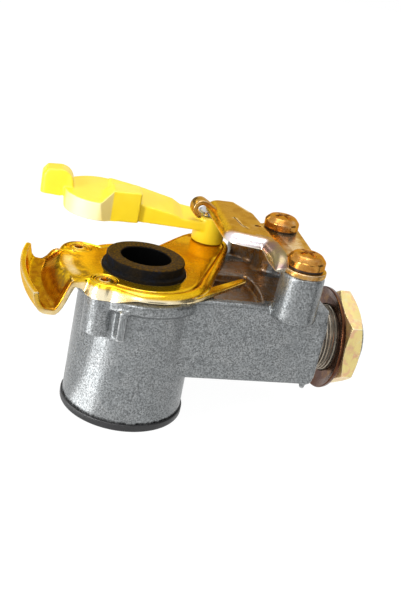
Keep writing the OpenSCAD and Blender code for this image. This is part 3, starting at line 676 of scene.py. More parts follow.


# In every finish, edge is partly wear and partly a painted highlight, and hollow is painted shade.
CAST = Finish(
    "cast_aluminium", (0.30, 0.315, 0.32), (0.38, 0.39, 0.39), (0.21, 0.225, 0.235), film=0.45, patch_mm=9.0,
    speck_mm=0.62, speck_dark=0.42, metallic=0.72, rough=(0.24, 0.40), bump=0.5, bump_mm=0.12,
    edge=Coat((0.66, 0.67, 0.67), 0.7), hollow=Coat((0.075, 0.078, 0.08), 0.85),
    # Painted shade: the tint is the brown-black of the pocket under the locking plate.
    tint=Coat((0.24, 0.105, 0.010), 0.95, 0.45))
THREAD = Finish(
    "oiled_thread", (0.27, 0.225, 0.165), (0.33, 0.24, 0.14), (0.24, 0.23, 0.21), film=0.6, patch_mm=5.0,
    speck_mm=0.5, speck_dark=0.2, metallic=0.85, rough=(0.24, 0.4), bump=0.3, bump_mm=0.06,
    edge=Coat((0.55, 0.50, 0.42)), hollow=Coat((0.05, 0.035, 0.02), 0.9))
DECK_GOLD = Finish(
    "gold_chromate_deck", (0.82, 0.50, 0.018), (0.52, 0.22, 0.012), (0.86, 0.62, 0.12), film=0.6, patch_mm=13.0,
    speck_mm=0.6, speck_dark=0.24, metallic=0.92, rough=(0.14, 0.30), bump=0.3, bump_mm=0.06,
    edge=Coat((0.95, 0.86, 0.62), 0.6), hollow=Coat((0.13, 0.045, 0.006), 0.85),
    # Painted shade in the claw's trough, the nose's foot and the rim's groove, and a painted dark reflection on the
    # nose.
    light_and_shade=Coat((0.24, 0.066, 0.004), 0.95, 0.3), tint=Coat((0.24, 0.145, 0.03), 0.9, 0.85),
    # Painted highlights on the rolled rim, the claw and the nose's crown.
    veil=Coat((0.95, 0.88, 0.66), 0.85), veil_other=(0.66, 0.49, 0.20), glance=(1.0, 0.66, 0.15))
TONGUE_GOLD = Finish(
    "gold_chromate_tongue", (0.47, 0.25, 0.045), (0.30, 0.12, 0.016), (0.56, 0.35, 0.12), film=0.7, patch_mm=7.0,
    speck_mm=0.5, speck_dark=0.16, metallic=0.92, rough=(0.18, 0.36), bump=0.3, bump_mm=0.06,
    edge=Coat((0.95, 0.88, 0.70), 0.65), hollow=Coat((0.09, 0.03, 0.006), 0.8),
    # Painted light on the left hem, brighter gold, and a painted highlight, near white with a violet cast, on the
    # front hem.
    light_and_shade=Coat((0.80, 0.48, 0.03), 1.0, 0.3), tint=Coat((0.86, 0.82, 0.90), 0.95, 0.25),
    veil=Coat((0.16, 0.10, 0.14), 0.92), veil_other=(0.21, 0.185, 0.10), glance=(1.0, 0.74, 0.36))
SCREW_GOLD = Finish(
    "gold_chromate_screw", (0.50, 0.24, 0.05), (0.30, 0.10, 0.016), (0.66, 0.44, 0.22), film=0.7, patch_mm=4.0,
    speck_mm=0.4, speck_dark=0.16, metallic=0.92, rough=(0.15, 0.34), bump=0.25, bump_mm=0.05,
    edge=Coat((0.95, 0.80, 0.55), 0.6), hollow=Coat((0.07, 0.022, 0.006), 0.9), glance=(1.0, 0.62, 0.25))
COVER_YELLOW = Finish(
    "moulded_yellow", (0.93, 0.70, 0.020), (0.90, 0.65, 0.015), (0.95, 0.74, 0.035), film=0.5, patch_mm=14.0,
    speck_mm=0.6, speck_dark=0.015, rough=(0.34, 0.46), bump=0.12, bump_mm=0.03, edge=Coat((0.96, 0.84, 0.26), 0.55),
    # tint: painted highlight on the cap's skirt and web.
    hollow=Coat((0.80, 0.52, 0.010)), tint=Coat((0.95, 0.91, 0.60), 0.85))
SEAL = Finish(
    # The cool colour stands in for a bluish sheen: painted reflection in random patches.
    "seal_rubber_black", (0.010, 0.0098, 0.010), (0.020, 0.014, 0.007), (0.010, 0.016, 0.034), film=0.8, patch_mm=6.0,
    speck_mm=0.55, speck_dark=0.35, rough=(0.40, 0.58), bump=0.35, bump_mm=0.06, edge=Coat((0.085, 0.052, 0.018)),
    # tint: painted brown sheen on the top faces; veil: painted black shade down the bore.
    tint=Coat((0.095, 0.046, 0.002), 0.9, 0.85), blotch_mm=0.9, veil=Coat((0.002, 0.002, 0.002), 1.0), specular=0.012)
NUT = Finish(
    "yellow_zinc_nut", (0.86, 0.70, 0.28), (0.80, 0.45, 0.29), (0.82, 0.76, 0.42), film=0.85, patch_mm=4.0,
    speck_mm=0.5, speck_dark=0.09, metallic=0.75, rough=(0.28, 0.44), bump=0.3, bump_mm=0.05,
    edge=Coat((0.95, 0.90, 0.66), 0.6), hollow=Coat((0.35, 0.20, 0.08), 0.6))
# The dark brown ground is painted reflection: it stands in for the dark shade that the washer mirrors.
WASHER = Finish(
    "washer_dark_reflection", (0.11, 0.042, 0.018), (0.065, 0.016, 0.008), (0.30, 0.15, 0.035), film=0.85, patch_mm=8.0,
    speck_mm=0.5, speck_dark=0.15, metallic=0.95, rough=(0.16, 0.32), bump=0.2, bump_mm=0.04,
    edge=Coat((0.60, 0.36, 0.14), 0.6), hollow=Coat((0.03, 0.012, 0.006), 0.8))
CAP_BLACK = Finish(
    "moulded_black", (0.012, 0.012, 0.013), (0.018, 0.018, 0.019), (0.010, 0.011, 0.014), film=0.6, patch_mm=8.0,
    speck_mm=0.5, speck_dark=0.15, rough=(0.34, 0.5), bump=0.2, bump_mm=0.04, edge=Coat((0.10, 0.10, 0.105)))
# Near black is painted shadow: the lock washers stand in for the dark line under the pan heads.
DARK_STEEL = Finish(
    "lock_washer_shadow_black", (0.045, 0.035, 0.030), (0.070, 0.040, 0.025), (0.030, 0.030, 0.034), film=0.7, patch_mm=4.0,
    speck_mm=0.4, speck_dark=0.15, metallic=0.8, rough=(0.32, 0.5), bump=0.2, edge=Coat((0.25, 0.20, 0.15)))
PLAIN_STEEL = Finish(
    "bright_steel", (0.52, 0.52, 0.51), (0.48, 0.46, 0.43), (0.44, 0.46, 0.49), film=0.6, patch_mm=6.0, speck_mm=0.4,
    speck_dark=0.08, metallic=0.95, rough=(0.2, 0.36), bump=0.15, edge=Coat((0.80, 0.80, 0.80)))
CAGE_WHITE = Finish(
    "moulded_off_white", (0.70, 0.69, 0.63), (0.66, 0.63, 0.54), (0.73, 0.73, 0.69), film=0.6, patch_mm=8.0,
    speck_mm=0.5, speck_dark=0.04, rough=(0.4, 0.52), bump=0.12)
GAUZE = Finish(
    "brass_gauze", (0.56, 0.47, 0.26), (0.46, 0.34, 0.16), (0.60, 0.54, 0.36), film=0.7, patch_mm=5.0, speck_mm=0.3,
    speck_dark=0.15, metallic=0.9, rough=(0.28, 0.44), bump=0.3)


def dress(name: str, made: Mesh, finish: Finish, nodes: Sequence[str] = (), tint: Optional[Tint] = None,
          light_and_shade: Optional[Tint] = None, veil: Optional[Tint] = None, sharp: float = 40.0, body: Body = Body.HEAD,
          onto: Optional[Body] = None) -> None:
    """Turns a finished mesh into a piece of the object.

    Args:
        name: Name of the piece.
        made: Its mesh, in place.
        finish: Its surface finish.
        nodes: CAD nodes that it stands for.
        tint: Function that says where the finish's tint lies.
        light_and_shade: Function that says where its zone of painted light and shade lies.
        veil: Function that says where its veil lies.
        sharp: Angle in degrees from which an edge stays sharp.
        body: The body that it rides on.
        onto: Where given, the piece keeps its place in the CAD frame and rides on no body.
    """
    made.name = name
    made.materials.clear()
    made.materials.append(finish.material())
    made.shade_smooth()
    made.set_sharp_from_angle(angle=math.radians(sharp))
    note_curve(made, {"tint": tint, "light_and_shade": light_and_shade, "veil": veil})
    piece = stand_in(made, name)
    if onto:
        heights = (co_mm(made)[:, 2] - FACE_H) * MM
        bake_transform(piece)
    else:
        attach(piece, body.value)
    if nodes:
        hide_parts(*nodes)
    LOG.info("%s: %d faces on %s", name, len(made.polygons), body.value)


def turned(profile: Sequence[tuple], place: Plan = (0.0, 0.0), steps: int = 144, about_x: float = 0.0) -> Shell:
    """Turns a closed profile about an upright axis, or about the stub's axis.

    Args:
        profile: Points as (r, h), or (function of the angle, h) where the outline isn't round.
        place: Plan position of an upright axis.
        steps: Number of columns round the axis.
        about_x: Height of an axis along X; 0 for an upright axis.

    Returns:
        The closed shell.
    """
    rows = []
    for angle in (360.0 * k / steps for k in range(steps)):
        c, s = unit(angle)
        reach = [(r(angle) if callable(r) else r, h) for r, h in profile]
        rows.append([(h, r * c, about_x + r * s) if about_x else (place[0] + r * c, place[1] + r * s, h)
                     for r, h in reach])
    return Shell().grid(np.array(rows), True, True)


# Sub-assemblies


@dataclass
class Casting:
    """The die-cast body with the threads on its stub and in its port."""

    skin: float = 0.7
    rounds: int = 2
    axis_h: float = STUB_AXIS_H
    stub_start: float = 80.7
    stub_end: float = 101.0
    stub_r: float = 15.2
    core_r: float = 14.25
    thread_r: float = 14.35
    ridge_r: float = 0.6
    pitch: float = 1.5
    port_r: float = 10.3
    port_depth: float = 16.0
    stub_runout: float = 0.9
    port_runout: float = 1.2
    pocket: tuple = ((26.0, -14.2, 42.0), (68.0, 13.5, 62.0))
    back: tuple = ((26.0, 13.5, 42.0), (58.0, 31.0, 67.0))
    wall: tuple = ((24.0, 10.0, 40.0), (60.0, math.inf, math.inf))
    boss_r: tuple[float, float] = (8.6, 8.0)

    def build(self) -> None:
        """Builds the casting, its stub turned down to the threads' core, and its threads."""
        made = node_copy("body")
        co = co_mm(made)
        out = np.hypot(co[:, 1], co[:, 2] - self.axis_h)
        stub = (co[:, 0] > self.stub_start - 0.3) & (out > self.core_r) & (out < self.stub_r)
        scale = np.where(stub, self.core_r / np.maximum(out, 1e-6), 1.0)
        co[:, 1] *= scale
        co[:, 2] = self.axis_h + (co[:, 2] - self.axis_h) * scale
        put_mm(made, co)
        dress("body_casting", softened(made, self.skin, self.rounds), CAST, ["body"], self.shade)
        self.thread("stub_thread", self.thread_r, self.stub_start,
                    self.stub_end - self.stub_start - self.stub_runout)
        self.thread("port_thread", self.port_r, self.stub_end - self.port_depth,
                    self.port_depth - self.port_runout)

    def shade(self, co: np.ndarray, way: np.ndarray) -> np.ndarray:
        """Paints shade, brown-black, in the pocket under the locking plate and on the rear wall, but not on the two
        screws' bosses.
        """
        pocket, back, wall = (((co > low) & (co < high)).all(axis=1) for low, high in
                              (self.pocket, self.back, self.wall))
        front, rear = (np.hypot(co[:, 0] - x, co[:, 1] - y) < r for (x, y), r in zip(PLATE_SCREWS, self.boss_r))
        pocket = pocket | (back & (way[:, 1] < 0.3) & (way[:, 2] > -0.3))
        return np.where((pocket & (way[:, 1] > -0.8) & ~front) | (wall & (way[:, 1] < -0.3) & ~rear), 1.0, 0.0)

    def thread(self, name: str, radius: float, start: float, length: float) -> None:
        """Winds a thread's ridge round the stub's axis with geometry nodes.

        Args:
            name: Name of the piece.
            radius: Radius of the ridge's centre line.
            start: Where it starts, along X.
            length: Its length along X.
        """
        holder = stand_in(bpy.data.meshes.new(name), name + "_work")
        step = holder.modifiers.new("thread", "NODES")
        step.node_group = thread_tree()
        ids = {s.name: s.identifier for s in step.node_group.interface.items_tree if s.in_out == "INPUT"}
        place = Vector((start, 0.0, self.axis_h - FACE_H)) * MM
        for label, value in (("Turns", length / self.pitch), ("Radius", radius * MM), ("Length", length * MM),
                             ("Ridge", self.ridge_r * MM), ("Place", place), ("Finish", THREAD.material())):
            step[ids[label]] = value
        dress(name, outwards(carried_out(holder)), THREAD)


@cache
def thread_tree() -> NodeTree:
    """Makes the geometry nodes that wind a ridge along a screw line about X, once."""
    tree, wire, given, out = node_group(
        "wound_ridge", {"Turns": "Float", "Radius": "Float", "Length": "Float", "Ridge": "Float", "Place": "Vector",
                        "Finish": "Material"}, {"Geometry": "Geometry"}, "GeometryNodeTree")
    line = wire.node("GeometryNodeCurveSpiral", Resolution=64)
    ring = wire.node("GeometryNodeCurvePrimitiveCircle", Resolution=8)
    sweep = wire.node("GeometryNodeCurveToMesh")
    sweep.inputs["Fill Caps"].default_value = True
    lay = wire.node("GeometryNodeTransform")
    lay.inputs["Rotation"].default_value = (0.0, math.radians(90.0), 0.0)
    real, coat = wire.node("GeometryNodeRealizeInstances"), wire.node("GeometryNodeSetMaterial")
    for source, target in (("Turns", line.inputs["Rotations"]), ("Radius", line.inputs["Start Radius"]),
                           ("Radius", line.inputs["End Radius"]), ("Length", line.inputs["Height"]),
                           ("Ridge", ring.inputs["Radius"]), ("Place", lay.inputs["Translation"]),
                           ("Finish", coat.inputs["Material"])):
        wire.join(given.outputs[source], target)
    for source, target in ((line, sweep.inputs["Curve"]), (ring, sweep.inputs["Profile Curve"]),
                           (sweep, lay.inputs["Geometry"]), (lay, real.inputs[0]), (real, coat.inputs["Geometry"]),
                           (coat, out.inputs[0])):
        wire.join(source.outputs[0], target)
    return tree


@dataclass
class GuidePlate:
    """The pressed plate round the seal, with its claw, its free strip and its two flush screws."""

    deck_h: float = DECK_H
    sheet_t: float = SHEET_T
    hole_r: float = 17.7
    ring_r: float = 29.0
    roll_r: float = 3.2
    roll_turn: float = 76.0
    band: float = 2.6
    flat: float = 0.3
    groove: float = 0.55
    bead: float = 0.3
    skirt: float = 3.0
    skirt_span: tuple[float, float] = (203.0, 258.0)
    skirt_ease: tuple[float, float] = (8.0, 24.0)
    pivot: Plan = PIVOT
    pivot_pad_r: float = 10.8
    pin_r: float = 4.0
    screws: tuple[Plan, Plan] = ((-18.5, -15.5), (-25.0, 17.5))
    pad_r: float = 7.8
    claw_start: float = 157.0
    claw_end: float = 215.0
    claw_rear_w: float = 3.0
    claw_front_w: float = 11.0
    claw_r: float = 47.6
    claw_depth_start: float = 5.6
    claw_depth_end: float = 13.4
    claw_lip: float = 5.7
    crown_share: float = 0.03
    nose: tuple[float, float] = (0.36, 0.73)
    trough_end: float = 0.78
    lip_round: float = 0.4
    screw_r: float = 3.0
    head_r: float = 5.6
    screw_len: float = 11.0
    strip_turn: float = -50.0
    strip_r: float = 24.3
    strip_h: tuple[float, float] = (59.3, 61.3)
    strip_plan: tuple = ((0.0, -6.0), (3.9, -6.0), (5.0, 0.0), (5.1, 12.0), (5.0, 26.0), (4.9, 33.6), (4.3, 35.4),
                         (3.3, 36.0), (2.2, 35.3), (1.6, 33.6), (0.9, 22.0), (0.0, 8.0))
    strip_bevel: float = 0.75
    key_af: float = 3.4
    key_turn: float = 10.0
    head_rim: tuple = ((0.25, -0.1, 0.12), (0.9, 0.05, 0.2), (1.3, -0.5, 0.15), (1.7, -0.5, 0.15), (2.0, 0.0, 0.2))
    groove_end: float = 0.6
    bead_rise: tuple[float, float] = (0.55, 0.45)
    groove_in: float = 4.95
    crown_r: float = 31.2
    nose_r: tuple[float, float] = (25.0, 38.5)
    nose_foot_r: tuple[float, float] = (35.4, 39.6)
    trough_r: tuple[float, float] = (37.5, 47.0)
    wall_r: float = 44.0
    lip_r: float = 45.0
    deck_shares: tuple = (0.0, 0.04, 0.2, 0.4, 0.6, 0.8)
    section_points: int = 60

    def build(self) -> None:
        """Builds the plate with its holes, the strip and the screws."""
        made = cut(self.sheet().mesh("guide_plate"), self.drill().mesh("guide_drill"))
        # Zones: painted dark reflection on the nose, painted shade in the trough and groove, painted highlights on the
        # rim, claw and nose.
        dress("guide_plate_sheet", made, DECK_GOLD, ["guide_plate"], self.nose_reflection_and_dark_lip, self.trough_and_groove_shade,
              self.bright, 30.0)
        # Painted highlight on the strip's side faces.
        dress("guide_plate_strip", self.strip(), DECK_GOLD,
              veil=lambda co, way: ramp(way[:, 2], 0.5, -0.6))
        for place, node in zip(self.screws, ("guide_screw_front", "guide_screw_rear")):
            dress(node + "_flush", self.screw(place).mesh(node), DECK_GOLD, [node])

    def ray_disc(self, a: float, place: Plan, r: float) -> float:
        """Where a ray at angle a leaves a disc."""
        d, off = math.hypot(*place), math.radians(a) - math.atan2(place[1], place[0])
        s = d * math.sin(off)
        return d * math.cos(off) + math.sqrt(r * r - s * s) if abs(s) < r and math.cos(off) > 0 else 0.0

    def pads(self, a: float) -> float:
        """How far the screws' pads reach at angle a."""
        return max(self.ray_disc(a, place, self.pad_r) for place in self.screws)

    def outline(self, a: float) -> float:
        """How far the plate's sharp outline reaches at angle a."""
        px, py = self.pivot
        reach, pivot_dir = math.hypot(px, py), math.degrees(math.atan2(py, px))
        edge_dir = pivot_dir - math.degrees(math.acos((self.ring_r - self.pivot_pad_r) / reach))
        edge_x, edge_y = np.array(self.pivot) + self.pivot_pad_r * unit(edge_dir)
        edge_end = math.degrees(math.atan2(edge_y, edge_x))
        a = (a + 180.0) % 360.0 - 180.0
        best = max(self.ring_r, self.pads(a), self.ray_disc(a, self.pivot, self.pivot_pad_r))
        if edge_dir < a < edge_end:
            best = max(best, self.ring_r / math.cos(math.radians(a - edge_dir)))
        off = math.radians(a - pivot_dir)
        if 0.0 < off < math.pi / 2:
            best = max(best, min(self.pivot_pad_r / max(math.sin(off), 1e-3), reach / max(math.cos(off), 1e-3)))
        return best

    @cached_property
    def rims(self) -> np.ndarray:
        """The outline at every quarter degree and at the start again, with its corners eased."""
        sharp = np.array([self.outline(i / 4.0) for i in range(1440)])
        bell = np.hanning(23)
        ring = np.concatenate([sharp[-11:], sharp, sharp[:11]])
        eased = np.convolve(ring, bell / bell.sum(), mode="valid")
        return np.append(eased, eased[0])

    def rim_at(self, a: np.ndarray) -> np.ndarray:
        """How far the eased outline reaches at angles a."""
        return np.interp(a % 360.0, np.arange(1441) / 4.0, self.rims)

    def claw_share(self, a: float) -> float:
        """How far the section at angle a has gone over from rolled edge to claw."""
        return ease((a - self.claw_start) / self.claw_rear_w) * ease((self.claw_end - a) / self.claw_front_w)

    def edge_point(self, a: float, s: float, rim: float) -> np.ndarray:
        """A point of the rolled edge or the claw.

        Args:
            a: Angle of the section.
            s: Share of the way from the deck to the sheet's edge.
            rim: Reach of the outline at that angle.

        Returns:
            Distance from the axis, and height.
        """
        turn = math.radians(self.roll_turn)
        start = rim - self.roll_r * math.sin(turn)
        if s < self.flat:
            roll = np.array([start - self.band * (1.0 - s / self.flat), self.deck_h])
        else:
            t = turn * (s - self.flat) / (1.0 - self.flat)
            roll = np.array([start + self.roll_r * math.sin(t), self.deck_h - self.roll_r * (1 - math.cos(t))])
        share = self.claw_share(a)
        (first, last), (fade_in, fade_out) = self.skirt_span, self.skirt_ease
        apron = self.skirt * ease((a - first) / fade_in) * ease((last - a) / fade_out) * ease((s - 0.5) / 0.5)
        if share <= 0.0:
            return roll - (0.0, apron)
        root = max(self.ring_r - 3.0, self.pads(a) - 1.5)
        depth = mix(self.claw_depth_start, self.claw_depth_end,
                    (a - self.claw_start) / (self.claw_end - self.claw_start))
        r = mix(root, mix(rim, self.claw_r, share), 1.0 - (1.0 - s) ** 2)
        q = (r - root) / (self.claw_r - root)
        crest, foot = self.nose
        down = depth * mix(ease((q - crest) / (foot - crest)), ease(q / crest), self.crown_share)
        rise = min(max(q - self.trough_end, 0.0) / (1.0 - self.trough_end), 1.0)
        up = self.claw_lip * (1.0 - math.sqrt(1.0 - rise ** 4))
        w = min(3.0 * share, 1.0)
        return roll * (1.0 - w) + np.array([r, self.deck_h - down + up]) * w - (0.0, apron * (1.0 - share))

    def wave(self, a: float) -> np.ndarray:
        """How far the rim's groove and bead lie above the plain section at angle a, along its top face."""
        s = np.linspace(0.0, 1.0, self.section_points)
        near, far = s / self.flat, (s - self.flat) / (1.0 - self.flat)
        hollow = np.sin(np.pi * np.clip(near / self.groove_end, 0.0, 1.0)) ** 2
        crest = np.where(s < self.flat, ramp(near, *self.bead_rise), 1.0 - np.clip(far, 0.0, 1.0))
        return (self.bead * crest - self.groove * hollow) * (1.0 - min(3.0 * self.claw_share(a), 1.0))

    def sheet(self) -> Shell:
        """Lofts the pressed sheet from sections round the seal's axis, closer together at the claw's ends."""
        near = np.concatenate([np.arange(self.claw_start - 0.6, self.claw_start + 3.6, 0.25),
                               np.arange(self.claw_end - 11.5, self.claw_end + 0.6, 0.4)])
        angles = np.unique(np.round(np.concatenate([np.arange(-22.0, 338.0, 1.25), near]), 3))
        rows, n = [], self.section_points
        for a in angles:
            rim = float(self.rim_at(a))
            steps = [self.edge_point(a, i / (n - 1.0), rim) for i in range(n)]
            deck = [np.array([mix(self.hole_r, steps[0][0], i), self.deck_h]) for i in self.deck_shares]
            loop = sheet_loop(np.array(deck + steps), self.sheet_t, self.lip_round)
            loop[len(deck):len(deck) + n, 1] += self.wave(a)
            c, s = unit(a)
            rows.append([(r * c, r * s, h) for r, h in loop])
        return Shell().grid(np.array(rows), True, True)

    def drill(self) -> Shell:
        """The countersunk holes and the pivot's hole, as one tool."""
        top, foot = self.deck_h, self.deck_h - self.sheet_t
        shank, head, pin = self.screw_r + FIT, self.head_r + FIT, self.pin_r + FIT
        sunk = [(0.0, foot - 1), (shank, foot - 1), (shank, foot + 0.2), (head, top), (head, top + 1), (0.0, top + 1)]
        tool = Shell()
        for place in self.screws:
            tool.add(turned(sunk, place, 64))
        return tool.add(turned(rod(pin, foot - 1, top + 1), self.pivot, 64))

    def strip(self) -> Mesh:
        """The free strip that runs off the ring's edge along the arm."""
        outline = spun([(self.strip_r + x, y) for x, y in self.strip_plan], self.strip_turn)
        return bevelled(Shell().prism(outline, *self.strip_h).mesh("strip"), self.strip_bevel, 4)

    def screw(self, place: Plan) -> Shell:
        """A flush screw with a rim round its head and a hexagon recess."""
        top, foot, key = self.deck_h, self.deck_h - self.sheet_t, hexagon(self.key_af, self.key_turn)
        end = foot - self.screw_len
        rim = rounded([(self.screw_r, foot + 0.2, 0.0)]
                      + [(self.head_r - inward, top + up, corner) for inward, up, corner in self.head_rim])
        return turned([(0.0, end), (self.screw_r - 0.6, end), (self.screw_r, end + 1.0), *rim,
                       (key, top - 0.05), (key, top - 0.9), (0.0, top - 1.0)], place, 96)

    def polar(self, co: np.ndarray, way: np.ndarray) -> tuple[np.ndarray, ...]:
        """Places the points round the seal's axis.

        Args:
            co: The points.
            way: Their normals.

        Returns:
            Distance from the axis, angle, distance inside the rim, and how far the normal faces outwards.
        """
        r, a = np.hypot(co[:, 0], co[:, 1]), np.degrees(np.arctan2(co[:, 1], co[:, 0])) % 360.0
        return r, a, self.rim_at(a) - r, (way[:, :2] * co[:, :2]).sum(1) / np.maximum(r, 1e-6)

    def nose_reflection_and_dark_lip(self, co: np.ndarray, way: np.ndarray) -> np.ndarray:
        """Painted dark reflection in mottled patches on the nose between the screws, and a darker gold on the outward
        faces of the lip.
        """
        r, a, _, outward = self.polar(co, way)
        dull = np.clip(window(r, *self.nose_r, 2.0, 2.0) - self.shine(r, a), 0.0, 1.0)
        return np.maximum(dull * window(a, self.claw_start + 1.0, self.claw_end - 1.0, 6.0, 8.0),
                          ramp(r, self.lip_r, 2.0) * ramp(outward, 0.2, 0.4) * 0.3)

    def trough_and_groove_shade(self, co: np.ndarray, way: np.ndarray) -> np.ndarray:
        """Painted shade: the deep orange of the claw's trough, the dark foot of its nose and the dark line in the
        groove inside the rim.
        """
        r, a, inside, _ = self.polar(co, way)
        span = window(a, self.claw_start, self.claw_end + 2.0, self.claw_rear_w, 6.0) * (way[:, 2] > 0.0)
        trough, foot = window(r, *self.trough_r, 2.5, 2.5), window(r, *self.nose_foot_r, 1.2, 1.6)
        line = ramp(np.abs(inside - self.groove_in), 0.75, -0.75) * (way[:, 2] > 0.5)
        return np.maximum(span * np.maximum(trough * 0.85, foot), line * (1.0 - span) * 0.9)

    def shine(self, r: np.ndarray, a: np.ndarray) -> np.ndarray:
        """Painted highlight along the crown of the nose."""
        across = ramp(np.abs(r - self.crown_r), 2.88, -2.4)
        return across * window(a, self.claw_start + 6.0, self.claw_end - 9.0, 8.0, 8.0)

    def bright(self, co: np.ndarray, way: np.ndarray) -> np.ndarray:
        """Painted highlights: the pale lower half of the rolled rim, the claw's front edge and outer wall, and the
        nose's crown.
        """
        r, a, inside, outward = self.polar(co, way)
        rim = ramp(inside, 1.6, -0.8) * ramp(co[:, 2], self.deck_h - 0.9, -0.9)
        end = np.maximum(ramp(way[:, 2], 0.3, -0.3), ramp(a, self.claw_end - 4.0, 4.0))
        edge = ramp(a, self.skirt_span[0], 3.0) * end
        wall = ramp(r, self.wall_r, 1.5) * ramp(outward, 0.1, 0.4) * ramp(a, self.claw_start + 8.0, 20.0) * 0.8
        claw = (a > self.claw_start - 7.0) & (a < self.claw_end + 1.0)
        pale = np.where(claw, np.maximum(rim * edge, wall), rim)
        return np.maximum(pale, self.shine(r, a) * (way[:, 2] > 0.0))


def sheet_loop(top: np.ndarray, thickness: float, lip: float) -> np.ndarray:
    """Closes a section of sheet metal: its top, a rounded far edge, its underside, a plain near edge.

    Args:
        top: Points of the top face, from the near edge to the far edge.
        thickness: Thickness of the sheet.
        lip: How far the rounded edge stands out.

    Returns:
        The points of the closed section.
    """
    way = normed(np.gradient(top, axis=0))
    down = np.stack([way[:, 1], -way[:, 0]], axis=1)
    under = top + thickness * down
    middle, half = top[-1] + thickness / 2 * down[-1], thickness / 2
    turn = np.radians(np.arange(30.0, 180.0, 30.0))[:, None]
    edge = middle - half * np.cos(turn) * down[-1] + lip * np.sin(turn) * way[-1]
    return np.concatenate([top, edge, under[::-1]])


